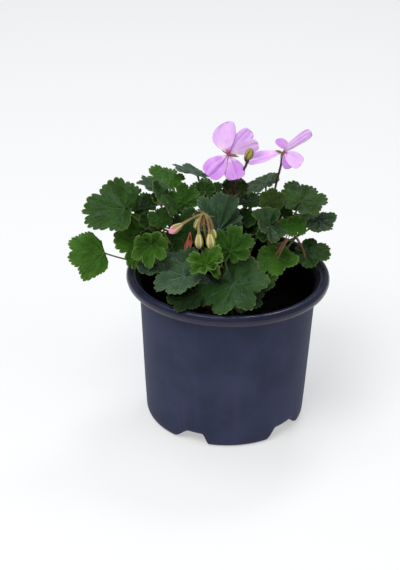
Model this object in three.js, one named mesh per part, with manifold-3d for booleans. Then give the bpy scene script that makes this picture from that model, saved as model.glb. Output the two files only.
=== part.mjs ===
// Potted geranium: a young flowering pelargonium growing in a round plastic nursery pot.
// Millimetres, +Z up. The origin is the centre of the pot's flat base, on the ground.
// The plant's viewing side faces -Y.
import * as THREE from "three";
import { mergeVertices } from "three/addons/utils/BufferGeometryUtils.js";
import Module from "manifold-3d";

const wasm = await Module();
wasm.setup();

// ---------------------------------------------------------------- driving dimensions
const GAP = 0.3; // clearance kept between neighbouring pieces

const POT_HEIGHT = 132;
const RIM_RADIUS = 85;
const NECK_RADIUS = 74; // outside wall just under the rim
const FOOT_RADIUS = 67.7; // outside wall just above the rounded foot
const BASE_RADIUS = 63.8; // flat that stands on the ground
const WALL = 2;
const POT_SEGMENTS = 50;
const NOTCH_COUNT = 5;
const NOTCH_FIRST = 246; // azimuth of the first notch, degrees
const NOTCH_WIDTH = 24;
const NOTCH_HEIGHT = 9;
const NOTCH_INNER = 46; // distance from the axis at which a notch ends
const DRAIN_RADIUS = 4.5;
const DRAIN_DISTANCE = 55;

const SOIL_TOP = 96;
const SOIL_SEGMENTS = 28;

const LEAF_SEGMENTS = 14; // seven lobes and seven notches, one every 360/14 degrees
const BLADE_THICKNESS = 1;
const PETIOLE_RADIUS = 1.2;

const PETAL_THICKNESS = 1;

// ---------------------------------------------------------------- small helpers
const degrees = Math.PI / 180;

function vec(x, y, z) {
  return new THREE.Vector3(x, y, z);
}

// The unit vectors of a blade: midrib, side (to the left of the midrib) and upper normal.
// heading is the azimuth of the midrib, droop tips its end down, roll turns it about the midrib.
function bladeAxes(heading, droop, roll) {
  const h = heading * degrees;
  const d = droop * degrees;
  const midrib = vec(Math.cos(h) * Math.cos(d), Math.sin(h) * Math.cos(d), -Math.sin(d));
  const side = vec(-Math.sin(h), Math.cos(h), 0);
  const normal = new THREE.Vector3().crossVectors(midrib, side);
  side.applyAxisAngle(midrib, roll * degrees);
  normal.applyAxisAngle(midrib, roll * degrees);
  return { midrib, side, normal };
}

// Two unit vectors square to a direction.
function crossAxes(direction, hint) {
  const a = new THREE.Vector3().crossVectors(hint, direction);
  if (a.lengthSq() < 1e-6) {
    a.crossVectors(vec(0.3, 1, 0), direction);
  }
  a.normalize();
  const b = new THREE.Vector3().crossVectors(direction, a).normalize();
  return { a, b };
}

// Keeps only positions, merges the shared vertices and drops the empty triangles at poles.
function closed(geometry) {
  geometry.deleteAttribute("normal");
  geometry.deleteAttribute("uv");
  const merged = mergeVertices(geometry, 1e-4);
  const index = [];
  for (let i = 0; i < merged.index.count; i += 3) {
    const a = merged.index.getX(i);
    const b = merged.index.getX(i + 1);
    const c = merged.index.getX(i + 2);
    if (a !== b && b !== c && c !== a) {
      index.push(a, b, c);
    }
  }
  merged.setIndex(index);
  return merged;
}

// Turns a body whose faces point inwards the right way round.
function facingOut(geometry) {
  const p = geometry.attributes.position;
  const index = geometry.index;
  const a = new THREE.Vector3();
  const b = new THREE.Vector3();
  const c = new THREE.Vector3();
  let volume = 0;
  for (let i = 0; i < index.count; i += 3) {
    a.fromBufferAttribute(p, index.getX(i));
    b.fromBufferAttribute(p, index.getX(i + 1));
    c.fromBufferAttribute(p, index.getX(i + 2));
    volume += a.dot(b.cross(c));
  }
  if (volume < 0) {
    for (let i = 0; i < index.count; i += 3) {
      const first = index.getX(i);
      index.setX(i, index.getX(i + 2));
      index.setX(i + 2, first);
    }
  }
  return geometry;
}

function toSolid(geometry) {
  return new wasm.Manifold(
    new wasm.Mesh({
      numProp: 3,
      vertProperties: Float32Array.from(geometry.attributes.position.array),
      triVerts: Uint32Array.from(geometry.index.array),
    }),
  );
}

function fromSolid(solid) {
  const mesh = solid.getMesh();
  const geometry = new THREE.BufferGeometry();
  const positions = new Float32Array(mesh.numVert * 3);
  for (let i = 0; i < mesh.numVert; i += 1) {
    for (let k = 0; k < 3; k += 1) {
      positions[i * 3 + k] = mesh.vertProperties[i * mesh.numProp + k];
    }
  }
  geometry.setAttribute("position", new THREE.BufferAttribute(positions, 3));
  geometry.setIndex(Array.from(mesh.triVerts));
  return geometry;
}

// A turned body about Z from [radius, height] points that start and end on the axis.
function turned(points, segments) {
  const profile = points.map(([r, z]) => new THREE.Vector2(r, z));
  const geometry = new THREE.LatheGeometry(profile, segments);
  geometry.rotateX(Math.PI / 2);
  return facingOut(closed(geometry));
}

// A turned form in which every vertex is moved by place(station, angle).
// Station counts the profile points; the first and the last are the poles.
function bentForm(stations, segments, place) {
  const profile = [];
  for (let i = 0; i < stations; i += 1) {
    const pole = i === 0 || i === stations - 1;
    profile.push(new THREE.Vector2(pole ? 0 : 1, i));
  }
  const geometry = new THREE.LatheGeometry(profile, segments);
  const p = geometry.attributes.position;
  for (let i = 0; i < p.count; i += 1) {
    const station = Math.round(p.getY(i));
    const step = Math.round((Math.atan2(p.getX(i), p.getZ(i)) / (2 * Math.PI)) * segments);
    const spot = place(station, ((step + segments) % segments) * (360 / segments));
    p.setXYZ(i, spot.x, spot.y, spot.z);
  }
  return facingOut(closed(geometry));
}

// A round rod along a curve. rings lists [share of the curve, radius]; both ends are closed.
function rod(curve, rings, segments) {
  const last = rings.length + 1;
  return bentForm(rings.length + 2, segments, (station, angle) => {
    if (station === 0) {
      return curve.getPoint(rings[0][0]);
    }
    if (station === last) {
      return curve.getPoint(rings[rings.length - 1][0]);
    }
    const [share, radius] = rings[station - 1];
    const { a, b } = crossAxes(curve.getTangent(share), vec(0, 0.2, 1));
    return curve
      .getPoint(share)
      .addScaledVector(a, Math.cos(angle * degrees) * radius)
      .addScaledVector(b, Math.sin(angle * degrees) * radius);
  });
}

const root = new THREE.Group();

function piece(name, geometry, colour, roughness) {
  const material = new THREE.MeshStandardMaterial({ color: colour, roughness, metalness: 0 });
  geometry.computeVertexNormals();
  const mesh = new THREE.Mesh(geometry, material);
  mesh.name = name;
  root.add(mesh);
}

// ---------------------------------------------------------------- pot
const potOutside = [
  [0, 0],
  [BASE_RADIUS, 0],
  [66.2, 1.6],
  [67.3, 5],
  [FOOT_RADIUS, 12],
  [NECK_RADIUS, POT_HEIGHT - 8],
  [80.5, POT_HEIGHT - 7.6],
  [83.4, POT_HEIGHT - 7],
  [RIM_RADIUS, POT_HEIGHT - 4.6],
  [84.2, POT_HEIGHT - 1.8],
  [81.6, POT_HEIGHT - 0.2],
  [77.6, POT_HEIGHT],
  [75, POT_HEIGHT - 1.6],
];
const potInside = [
  [NECK_RADIUS - 0.6, POT_HEIGHT - 6],
  [FOOT_RADIUS - WALL, 12],
  [65, 5],
  [62, WALL],
  [0, WALL],
];

// The recess of one foot notch, grown on every side by extra.
function notchTool(index, extra) {
  const half = NOTCH_WIDTH / 2 + extra;
  const top = NOTCH_HEIGHT + extra;
  const corner = 6;
  const outline = new THREE.Shape();
  outline.moveTo(-half, -2);
  outline.lineTo(half, -2);
  outline.lineTo(half, top - corner);
  outline.quadraticCurveTo(half, top, half - corner, top);
  outline.lineTo(-half + corner, top);
  outline.quadraticCurveTo(-half, top, -half, top - corner);
  outline.closePath();
  const depth = 80 - NOTCH_INNER + extra;
  const geometry = new THREE.ExtrudeGeometry(outline, {
    depth,
    bevelEnabled: false,
    curveSegments: 4,
  });
  geometry.rotateX(Math.PI / 2);
  geometry.translate(0, -(NOTCH_INNER - extra), 0);
  geometry.rotateZ((NOTCH_FIRST - 270 + (index * 360) / NOTCH_COUNT) * degrees);
  return toSolid(facingOut(closed(geometry)));
}

function drainTool(index) {
  const geometry = new THREE.CylinderGeometry(DRAIN_RADIUS, DRAIN_RADIUS, 12, 12);
  geometry.rotateX(Math.PI / 2);
  geometry.translate(0, -DRAIN_DISTANCE, NOTCH_HEIGHT);
  geometry.rotateZ((NOTCH_FIRST - 270 + (index * 360) / NOTCH_COUNT) * degrees);
  return toSolid(facingOut(closed(geometry)));
}

function buildPot() {
  const cavityTop = [
    [0, POT_HEIGHT + 5],
    [75, POT_HEIGHT + 5],
    [75, POT_HEIGHT - 1.6],
  ];
  let body = toSolid(turned([...potOutside, [75, POT_HEIGHT - 1.7], [0, POT_HEIGHT - 1.7]], POT_SEGMENTS));
  let cavity = toSolid(turned([...cavityTop, ...potInside], POT_SEGMENTS));
  for (let i = 0; i < NOTCH_COUNT; i += 1) {
    cavity = cavity.subtract(notchTool(i, WALL));
  }
  body = body.subtract(cavity);
  for (let i = 0; i < NOTCH_COUNT; i += 1) {
    body = body.subtract(notchTool(i, 0)).subtract(drainTool(i));
  }
  return fromSolid(body);
}
piece("pot", buildPot(), 0x363a52, 0.45);

// ---------------------------------------------------------------- stems
// Each stem runs from a foot inside the soil to its growing tip.
const stems = {
  stem_centre: {
    points: [vec(0, 2, 74), vec(2, 6, 110), vec(-1, 14, 150), vec(4, 18, 186)],
    radii: [4.6, 4.2, 3.8, 3.4, 3.0],
  },
  stem_left: {
    points: [vec(-12, 0, 76), vec(-20, 0, 108), vec(-36, 6, 140), vec(-52, 13, 174)],
    radii: [3.6, 3.4, 3.0, 2.6, 2.0],
  },
  stem_right: {
    points: [vec(12, 4, 76), vec(20, 6, 108), vec(32, 10, 140), vec(42, 14, 170)],
    radii: [3.6, 3.4, 3.0, 2.6, 2.0],
  },
  stem_front: {
    points: [vec(2, -12, 78), vec(3, -18, 100), vec(-3, -24, 126), vec(-9, -28, 152)],
    radii: [3.0, 2.8, 2.5, 2.2, 1.8],
  },
};

function stemCurve(name) {
  return new THREE.CatmullRomCurve3(stems[name].points);
}

function stemBody(name, extra) {
  const radii = stems[name].radii;
  const rings = radii.map((radius, i) => [i / (radii.length - 1), radius + extra]);
  const curve = stemCurve(name);
  if (extra > 0) {
    const points = stems[name].points.map((p) => p.clone());
    points[0].z -= extra;
    return rod(new THREE.CatmullRomCurve3(points), rings, 10);
  }
  return rod(curve, rings, 10);
}

for (const name of Object.keys(stems)) {
  piece(name, stemBody(name, 0), 0x5d5a34, 0.75);
}

// ---------------------------------------------------------------- soil
function buildSoil() {
  const wallShare = (SOIL_TOP - 12) / (POT_HEIGHT - 18);
  const topRadius = FOOT_RADIUS - WALL + (NECK_RADIUS - 0.6 - FOOT_RADIUS + WALL) * wallShare - 0.5;
  const profile = [
    [0, WALL + GAP],
    [61.5, WALL + GAP],
    [64.5, 5.2],
    [FOOT_RADIUS - WALL - 0.5, 12],
    [topRadius, SOIL_TOP - 1],
    [58, SOIL_TOP + 1.5],
    [40, SOIL_TOP - 0.5],
    [20, SOIL_TOP + 2],
    [0, SOIL_TOP + 3],
  ];
  let body = toSolid(turned(profile, SOIL_SEGMENTS));
  for (let i = 0; i < NOTCH_COUNT; i += 1) {
    body = body.subtract(notchTool(i, WALL + GAP));
  }
  for (const name of Object.keys(stems)) {
    body = body.subtract(toSolid(stemBody(name, 1.3 * GAP)));
  }
  return fromSolid(body);
}
piece("soil", buildSoil(), 0x1c1714, 0.95);

// ---------------------------------------------------------------- leaves
// name, hub, heading, droop, roll, radius, cup, ear (length of the basal lobes as a share),
// stem it grows from, share of that stem at which its petiole starts, and, for a leaf that is
// folded into a fan, the share of the full turn that its lobes spread over.
const leaves = [
  ["leaf_left_large", [-86, 5, 184], 160, 10, -25, 36, 0.1, 0.45, "stem_left", 0.85],
  ["leaf_left_low", [-102, -20, 156], -156, 5, -45, 32, 0.08, 0.5, "stem_left", 0.6, 0.62],
  ["leaf_left_top", [-51, 45, 190], 140, -15, -10, 21, 0.1, 0.5, "stem_left", 0.95],
  ["leaf_left_deep", [-70, 23, 177], 145, -20, -10, 17, 0.1, 0.5, "stem_left", 0.88],
  ["leaf_left_grey", [-58, 20, 196], -170, -15, 5, 20, 0.12, 0.5, "stem_left", 0.8],
  ["leaf_top_back", [-27, 48, 197], 160, -5, 18, 23, 0.12, 0.5, "stem_centre", 0.7],
  ["leaf_top_mid", [-37, 15, 186], 109, -50, -12, 16, 0.1, 0.5, "stem_centre", 0.8],
  ["leaf_top_dark", [-20, 24, 188], 90, -30, 0, 17, 0.1, 0.5, "stem_centre", 0.85],
  ["leaf_left_fold", [-56, -4, 202], -70, 35, -45, 22, 0.15, 0.5, "stem_left", 0.95],
  ["leaf_left_inner", [-56, -10, 180], 95, -35, -5, 13, 0.1, 0.5, "stem_left", 0.67],
  ["leaf_mid_dark", [-32, -5, 169], 95, -60, -15, 20, 0.1, 0.5, "stem_centre", 0.5],
  ["leaf_centre", [-9, -13, 173], 95, -40, 3, 34, 0.08, 0.6, "stem_centre", 0.6, 0.5],
  ["leaf_centre_bright", [1, -38.6, 168.6], 76, -41, 8, 23, 0.15, 0.5, "stem_front", 0.9],
  ["leaf_front_curl", [-18, -52, 162], 105, -20, -15, 15, 0.25, 0.8, "stem_front", 1],
  ["leaf_front_large", [3, -54, 146], -62, 6, 24, 32, 0.08, 0.85, "stem_front", 0.7],
  ["leaf_front_left", [-36, -40, 146], -160, 10, -15, 26, 0.08, 0.6, "stem_front", 0.8],
  ["leaf_front_left_up", [-39, -28, 147], 114, -30, -14, 22, 0.08, 0.5, "stem_left", 0.3],
  ["leaf_left_bright", [-63, -25, 166], -95, 42, 5, 20, 0.2, 0.5, "stem_left", 0.75, 0.8],
  ["leaf_left_dark", [-69, 6, 161], -115, 40, -50, 28, 0.08, 0.5, "stem_left", 0.55],
  ["leaf_left_rim", [-63, -32, 150], -145, 10, -10, 12, 0.08, 0.5, "stem_left", 0.25],
  ["leaf_front_low_left", [-33, -60, 137], -115, 20, 0, 17, 0.08, 0.6, "stem_front", 0.5],
  ["leaf_front_right_upper", [23, -35, 139], -45, 0, 25, 16, 0.08, 0.5, "stem_front", 0.7],
  ["leaf_front_right_lower", [11, -46, 131], -40, 10, 15, 16, 0.08, 0.4, "stem_front", 0.55],
  ["leaf_right_front", [40, -16, 153], -92, 22, 10, 22, 0.08, 0.65, "stem_right", 0.7],
  ["leaf_right_gloss", [32, -22, 185], -130, 0, -40, 19, 0.15, 0.7, "stem_right", 0.75],
  ["leaf_right_large", [58, 5, 193], 65, -10, 15, 25, 0.08, 0.7, "stem_right", 0.95],
  ["leaf_top_right", [31, 54, 187], 141, 25, -8, 24, 0.1, 0.5, "stem_centre", 0.9],
  ["leaf_right_olive", [34, -4, 196], 90, -68, 0, 13, 0.1, 0.6, "stem_right", 0.97],
  ["leaf_top_small", [4, 29, 195], 110, -25, -10, 11, 0.12, 0.5, "stem_centre", 0.95],
  ["leaf_right_small", [17, 18, 184], 65, -20, -5, 12, 0.12, 0.5, "stem_right", 0.85],
  ["leaf_far_right", [75, 12, 174], -55, 11, 21, 15, 0.12, 0.5, "stem_right", 0.8],
  ["leaf_right_low", [65, 12, 142], -30, -5, 10, 22, 0.08, 0.6, "stem_right", 0.6],
  ["leaf_right_inner", [52, -4, 178], -95, 35, -5, 14, 0.1, 0.5, "stem_right", 0.88],
  ["leaf_back_centre", [2, 62, 168], 90, 15, 0, 30, 0.1, 0.7, "stem_centre", 0.55],
  ["leaf_back_left", [-42, 62, 162], 125, 20, 5, 30, 0.1, 0.7, "stem_left", 0.82],
  ["leaf_back_right", [42, 60, 164], 55, 15, -5, 30, 0.1, 0.7, "stem_right", 0.75],
  ["leaf_back_low_left", [-26, 48, 146], 110, 8, 0, 25, 0.1, 0.7, "stem_centre", 0.35],
  ["leaf_back_low_right", [26, 48, 146], 70, 8, 0, 25, 0.1, 0.7, "stem_centre", 0.4],
  ["leaf_back_far_left", [-70, 36, 150], 155, 20, 0, 26, 0.1, 0.6, "stem_left", 0.5],
  ["leaf_back_far_right", [68, 42, 158], 30, 20, 0, 26, 0.1, 0.6, "stem_right", 0.5],
];

// Radius share of the blade outline, by angle from the midrib.
function lobeReach(angle, ear) {
  const away = Math.abs(((angle + 180) % 360) - 180);
  const step = Math.round(away / (360 / LEAF_SEGMENTS));
  const reach = [1, 0.88, 0.96, 0.8, 0.5 + 0.4 * ear, (0.5 + 1.4 * ear) / 2.2, ear, 0.16];
  return reach[step];
}

function petioleCurve(hub, axes, stem, share) {
  const stemLine = stemCurve(stem);
  const stemPoint = stemLine.getPoint(share);
  const radii = stems[stem].radii;
  const along = share * (radii.length - 1);
  const lower = Math.min(Math.floor(along), radii.length - 2);
  const stemRadius = radii[lower] + (radii[lower + 1] - radii[lower]) * (along - lower);
  const start = hub.clone().addScaledVector(axes.normal, -BLADE_THICKNESS / 2);
  const away = start.clone().sub(stemPoint);
  const tangent = stemLine.getTangent(share);
  const outward = away.clone().addScaledVector(tangent, -away.dot(tangent)).normalize();
  const foot = stemPoint.clone().addScaledVector(outward, stemRadius + 2.5 * GAP);
  const reach = start.distanceTo(foot);
  const upper = start
    .clone()
    .addScaledVector(axes.normal, -0.22 * reach)
    .addScaledVector(axes.midrib, -0.14 * reach);
  const lowerPoint = foot
    .clone()
    .addScaledVector(outward, 0.25 * reach)
    .addScaledVector(tangent, 0.12 * reach);
  return new THREE.CubicBezierCurve3(start, upper, lowerPoint, foot);
}

function buildLeaf(hubPoint, heading, droop, roll, radius, cup, ear, stem, share, spread = 1) {
  const axes = bladeAxes(heading, droop, roll);
  const hub = vec(...hubPoint);
  const petiole = petioleCurve(hub, axes, stem, share);
  const half = BLADE_THICKNESS / 2;
  // upper face, rim, lower face, then the petiole down to its foot
  const blade = [null, [0.5, half], [1, half * 0.7], [1, -half * 0.7], [0.5, -half]];
  const petioleShares = [0, 0.34, 0.68, 1];
  return bentForm(10, LEAF_SEGMENTS, (station, angle) => {
    const spot = hub.clone();
    if (station === 0) {
      return spot.addScaledVector(axes.normal, half);
    }
    if (station < 5) {
      const [share, lift] = blade[station];
      const reach = Math.max(lobeReach(angle, ear) * radius, 3.4) * share;
      const rise = cup * radius * (reach / radius) ** 2 + lift;
      const signed = angle > 180 ? angle - 360 : angle;
      const fan = signed === 180 ? 180 : signed * spread;
      return spot
        .addScaledVector(axes.midrib, Math.cos(fan * degrees) * reach)
        .addScaledVector(axes.side, Math.sin(fan * degrees) * reach)
        .addScaledVector(axes.normal, rise);
    }
    if (station === 9) {
      return petiole.getPoint(1);
    }
    const along = petioleShares[station - 5];
    const tangent = petiole.getTangent(along);
    const a = axes.midrib.clone().addScaledVector(tangent, -axes.midrib.dot(tangent)).normalize();
    const b = new THREE.Vector3().crossVectors(a, tangent).normalize();
    return petiole
      .getPoint(along)
      .addScaledVector(a, Math.cos(angle * degrees) * PETIOLE_RADIUS)
      .addScaledVector(b, Math.sin(angle * degrees) * PETIOLE_RADIUS);
  });
}

for (const [name, ...shape] of leaves) {
  piece(name, buildLeaf(...shape), 0x4a6a35, 0.6);
}

// ---------------------------------------------------------------- flowers
// A petal is a flattened ball with its poles at the claw and at the tip.
// length, width, curl (bend of the tip towards the normal, in degrees of arc).
function buildPetal(start, axes, length, width, curl) {
  const geometry = new THREE.SphereGeometry(1, 10, 6);
  const p = geometry.attributes.position;
  for (let i = 0; i < p.count; i += 1) {
    const along = (1 - p.getY(i)) / 2;
    const outline = along ** 0.35 * 1.05;
    const across = p.getX(i) * (width / 2) * outline;
    const lift = p.getZ(i) * (PETAL_THICKNESS / 2);
    const turn = curl * degrees * along;
    const bend = Math.abs(curl) < 1 ? 0 : (1 - Math.cos(turn)) / (curl * degrees);
    const run = Math.abs(curl) < 1 ? along : Math.sin(turn) / (curl * degrees);
    const spot = start
      .clone()
      .addScaledVector(axes.midrib, run * length)
      .addScaledVector(axes.side, across)
      .addScaledVector(axes.normal, bend * length + lift + 0.1 * across * across * (1 / width));
    p.setXYZ(i, spot.x, spot.y, spot.z);
  }
  return facingOut(closed(geometry));
}

const flowerOne = vec(-2, 2, 236);
const flowerTwo = vec(42, 8, 237);

// Both flowers are laid out in a plane that faces forwards and up by FLOWER_RISE degrees.
// name, centre, angle in that plane (anticlockwise from the right), lean towards the front,
// twist about the petal's own line, length, width, curl.
const FLOWER_RISE = 27;
const petals = [
  ["flower_one_petal_upper_left", flowerOne, 107, 0, 0, 22, 18, 15],
  ["flower_one_petal_upper_right", flowerOne, 51, -10, 25, 23, 12, 15],
  ["flower_one_petal_right", flowerOne, 23, 5, 25, 22, 10, 15],
  ["flower_one_petal_lower_left", flowerOne, 226, 5, 0, 21, 18, -20],
  ["flower_one_petal_lower_right", flowerOne, 290, 5, 0, 18, 17, -20],
  ["flower_two_petal_upper_left", flowerTwo, 134, 25, 20, 9.5, 9, 10],
  ["flower_two_petal_upper_right", flowerTwo, 37, 0, 35, 24, 10, 15],
  ["flower_two_petal_right", flowerTwo, -36, 15, 0, 15, 13, -15],
  ["flower_two_petal_lower", flowerTwo, -68, -10, 10, 12, 10, -15],
  ["flower_two_petal_left", flowerTwo, 200, 0, 42, 27, 15, 10],
];

function petalAxes(angle, lean, twist) {
  const rise = FLOWER_RISE * degrees;
  const facing = vec(0, -Math.cos(rise), Math.sin(rise));
  const up = vec(0, Math.sin(rise), Math.cos(rise));
  const a = angle * degrees;
  const midrib = vec(Math.cos(a), 0, 0).addScaledVector(up, Math.sin(a));
  const side = new THREE.Vector3().crossVectors(facing, midrib);
  midrib.applyAxisAngle(side, -lean * degrees);
  const normal = new THREE.Vector3().crossVectors(midrib, side);
  side.applyAxisAngle(midrib, twist * degrees);
  normal.applyAxisAngle(midrib, twist * degrees);
  return { midrib, side, normal };
}

for (const [name, centre, angle, lean, twist, length, width, curl] of petals) {
  const axes = petalAxes(angle, lean, twist);
  const base = centre.clone().addScaledVector(axes.midrib, 3.4);
  piece(name, buildPetal(base, axes, length, width, curl), 0xdcb0dc, 0.55);
}

// Stalks end in a green calyx just behind the petals.
function stalk(points, rings) {
  return rod(new THREE.CatmullRomCurve3(points), rings, 8);
}

const calyxRings = [
  [0, 1.1],
  [0.4, 0.9],
  [0.8, 0.9],
  [0.9, 1.4],
  [1, 1.6],
];
piece(
  "flower_one_stalk",
  stalk([vec(3, 19, 190), vec(0, 16, 212), vec(-2, 10, 228), vec(-2, 6, 234)], calyxRings),
  0x5a3038,
  0.7,
);
piece(
  "flower_two_stalk",
  stalk([vec(35, 18, 180), vec(37, 18, 198), vec(40, 15, 214), vec(42, 10, 234)], calyxRings),
  0x5a3038,
  0.7,
);
piece(
  "bud_upright",
  stalk(
    [vec(3, 15, 193), vec(4.5, 8, 207), vec(11, -3, 226), vec(16, -8, 245)],
    [
      [0, 1],
      [0.4, 0.9],
      [0.68, 1.2],
      [0.78, 3.2],
      [0.9, 2.8],
      [1, 0.6],
    ],
  ),
  0x8a9a4a,
  0.6,
);

// Drooping umbel: five closed buds on thin pedicels joined at one point.
const budApex = vec(-21, -30, 199);
const hangingBuds = [
  [vec(-30, -34, 196), vec(-49, -38, 184), 2.8],
  [vec(-25, -36, 196), vec(-24.5, -41, 171), 2.8],
  [vec(-18, -38, 197), vec(-14.5, -42, 171), 3],
  [vec(-16, -34, 196), vec(-12, -36, 178), 2.2],
  [vec(-23, -26, 197), vec(-28, -26, 182), 2.2],
];

function buildBuds() {
  let body = null;
  for (const [bend, tip, fat] of hangingBuds) {
    const curve = new THREE.QuadraticBezierCurve3(budApex.clone(), bend, tip);
    const bud = rod(
      curve,
      [
        [0, 0.8],
        [0.25, 0.7],
        [0.5, 1],
        [0.65, fat],
        [0.85, fat],
        [1, 0.5],
      ],
      7,
    );
    body = body ? body.add(toSolid(bud)) : toSolid(bud);
  }
  const stalkCurve = new THREE.CatmullRomCurve3([vec(-5, 8, 146), vec(-15, -24, 164), vec(-20, -32, 184), budApex.clone()]);
  const stalkBody = rod(
    stalkCurve,
    [
      [0, 1.2],
      [0.5, 1.1],
      [1, 1.1],
    ],
    7,
  );
  return fromSolid(body.add(toSolid(stalkBody)));
}
piece("buds_drooping", buildBuds(), 0xa8a46a, 0.65);

export default root;
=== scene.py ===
"""Potted geranium: the finished leaves, flowers, stems, soil and pot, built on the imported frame."""
import math
import random

import bmesh
import bpy
from mathutils import Matrix, Vector, noise


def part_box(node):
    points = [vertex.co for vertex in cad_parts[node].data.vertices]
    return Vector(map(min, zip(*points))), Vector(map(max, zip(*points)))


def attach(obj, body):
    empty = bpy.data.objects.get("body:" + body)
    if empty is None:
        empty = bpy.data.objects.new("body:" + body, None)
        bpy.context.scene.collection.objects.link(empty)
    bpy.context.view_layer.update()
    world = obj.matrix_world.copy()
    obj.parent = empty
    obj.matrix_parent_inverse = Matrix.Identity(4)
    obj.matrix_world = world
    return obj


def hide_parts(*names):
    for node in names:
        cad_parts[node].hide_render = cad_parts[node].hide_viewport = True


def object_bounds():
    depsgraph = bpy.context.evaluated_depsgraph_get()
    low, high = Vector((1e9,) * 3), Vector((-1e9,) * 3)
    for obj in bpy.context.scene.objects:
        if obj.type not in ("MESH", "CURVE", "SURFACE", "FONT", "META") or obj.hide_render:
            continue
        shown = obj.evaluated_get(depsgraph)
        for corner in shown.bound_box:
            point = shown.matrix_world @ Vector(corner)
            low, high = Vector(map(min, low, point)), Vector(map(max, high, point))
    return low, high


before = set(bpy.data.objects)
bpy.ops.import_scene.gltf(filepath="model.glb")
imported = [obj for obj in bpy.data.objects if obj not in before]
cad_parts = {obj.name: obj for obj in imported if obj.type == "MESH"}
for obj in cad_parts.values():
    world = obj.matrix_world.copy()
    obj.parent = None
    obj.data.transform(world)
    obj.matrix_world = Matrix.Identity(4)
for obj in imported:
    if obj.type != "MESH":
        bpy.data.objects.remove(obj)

cad_low, cad_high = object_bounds()
scene = bpy.context.scene
MM = 0.001
TURN = 2 * math.pi
EAST = Vector((1, 0, 0))
NORTH = Vector((0, 1, 0))


# ---------------------------------------------------------------- camera
LENS = 105
SENSOR_WIDTH = 36
VIEW_RISE = math.radians(27.48)
VIEW_ROLL = math.radians(1.08)
VIEW_CENTRE = Vector((-0.02314, 0, 0.1177))
VIEW_DISTANCE = 1.393


def add_camera():
    data = bpy.data.cameras.new("viewer")
    data.lens = LENS
    data.sensor_width = SENSOR_WIDTH
    camera = bpy.data.objects.new("viewer", data)
    scene.collection.objects.link(camera)
    back = Vector((0, -math.cos(VIEW_RISE), math.sin(VIEW_RISE)))
    flat_right = Vector((1, 0, 0))
    flat_up = back.cross(flat_right)
    right = flat_right * math.cos(VIEW_ROLL) + flat_up * math.sin(VIEW_ROLL)
    up = back.cross(right)
    place = Matrix((right, up, back)).transposed().to_4x4()
    place.translation = VIEW_CENTRE + back * VIEW_DISTANCE
    camera.matrix_world = place
    scene.camera = camera


add_camera()


# ---------------------------------------------------------------- reading the frame
def merged_frame_mesh(node):
    """A bmesh copy of a frame node with its loose corners merged."""
    bm = bmesh.new()
    bm.from_mesh(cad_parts[node].data)
    bmesh.ops.remove_doubles(bm, verts=bm.verts, dist=2e-6)
    bm.verts.ensure_lookup_table()
    return bm


def rings_between_poles(bm, sides):
    """The rings of a turned form as lists of corners, from its lower pole to its upper one."""
    poles = [v for v in bm.verts if len(v.link_edges) == sides]
    poles.sort(key=lambda v: v.co.z)
    start = poles[0]
    seen, rings, front = {start}, [[start]], [start]
    while front:
        following = []
        for vert in front:
            for edge in vert.link_edges:
                other = edge.other_vert(vert)
                if other not in seen:
                    seen.add(other)
                    following.append(other)
        if following:
            rings.append(following)
        front = following
    return rings


def middle(verts):
    return sum((v.co for v in verts), Vector()) / len(verts)


def spoke(across, other, angle):
    """The direction at an angle between two directions that are square to each other."""
    return across * math.cos(angle) + other * math.sin(angle)


def walk_ring(ring, first):
    """The corners of a ring in order round it, starting with first."""
    members, order = set(ring), [first]
    while len(order) < len(ring):
        steps = [e.other_vert(order[-1]) for e in order[-1].link_edges]
        steps = [v for v in steps if v in members and v not in order]
        if not steps:
            break
        order.append(steps[0])
    return order


def rod_line(node, sides):
    """Centres and radii of a frame rod's rings, from its lower end to its upper end."""
    bm = merged_frame_mesh(node)
    rings = rings_between_poles(bm, sides)[1:-1]
    line = [(middle(r).copy(), sum((v.co - middle(r)).length for v in r) / len(r)) for r in rings]
    bm.free()
    return line


# A frame leaf is a turned form of 14 sides. Its rings run from the foot of the petiole: the pole,
# four rings of the petiole, two of the lower face, two of the upper face, and the hub.
LEAF_SIDES = 14
TIP = LEAF_SIDES // 2
PETIOLE_RINGS = 5
UPPER_RIM = 7
HUB = 9


class LeafPlan:
    """Where a leaf's petiole and hub are, and how far its margin reaches all round."""

    def __init__(self, petiole, hub, midrib, side, normal):
        self.petiole, self.hub = petiole, hub
        self.midrib, self.side, self.normal = midrib, side, normal
        self.reach, self.fan, self.lift = [], [], []

    def add_margin(self, arm, nominal):
        x, y = arm.dot(self.midrib), arm.dot(self.side)
        turn = math.atan2(y, x)
        while turn - nominal > math.pi:
            turn -= TURN
        while turn - nominal < -math.pi:
            turn += TURN
        self.fan.append(turn)
        self.reach.append(math.hypot(x, y))
        self.lift.append(arm.dot(self.normal))

    def fan_with(self, gape):
        """The fan with the two edges of the basal notch kept close to the basal lobes."""
        fan = list(self.fan)
        fan[0] = max(fan[0], fan[1] - gape)
        fan[-1] = min(fan[-1], fan[-2] + gape)
        return fan


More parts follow.
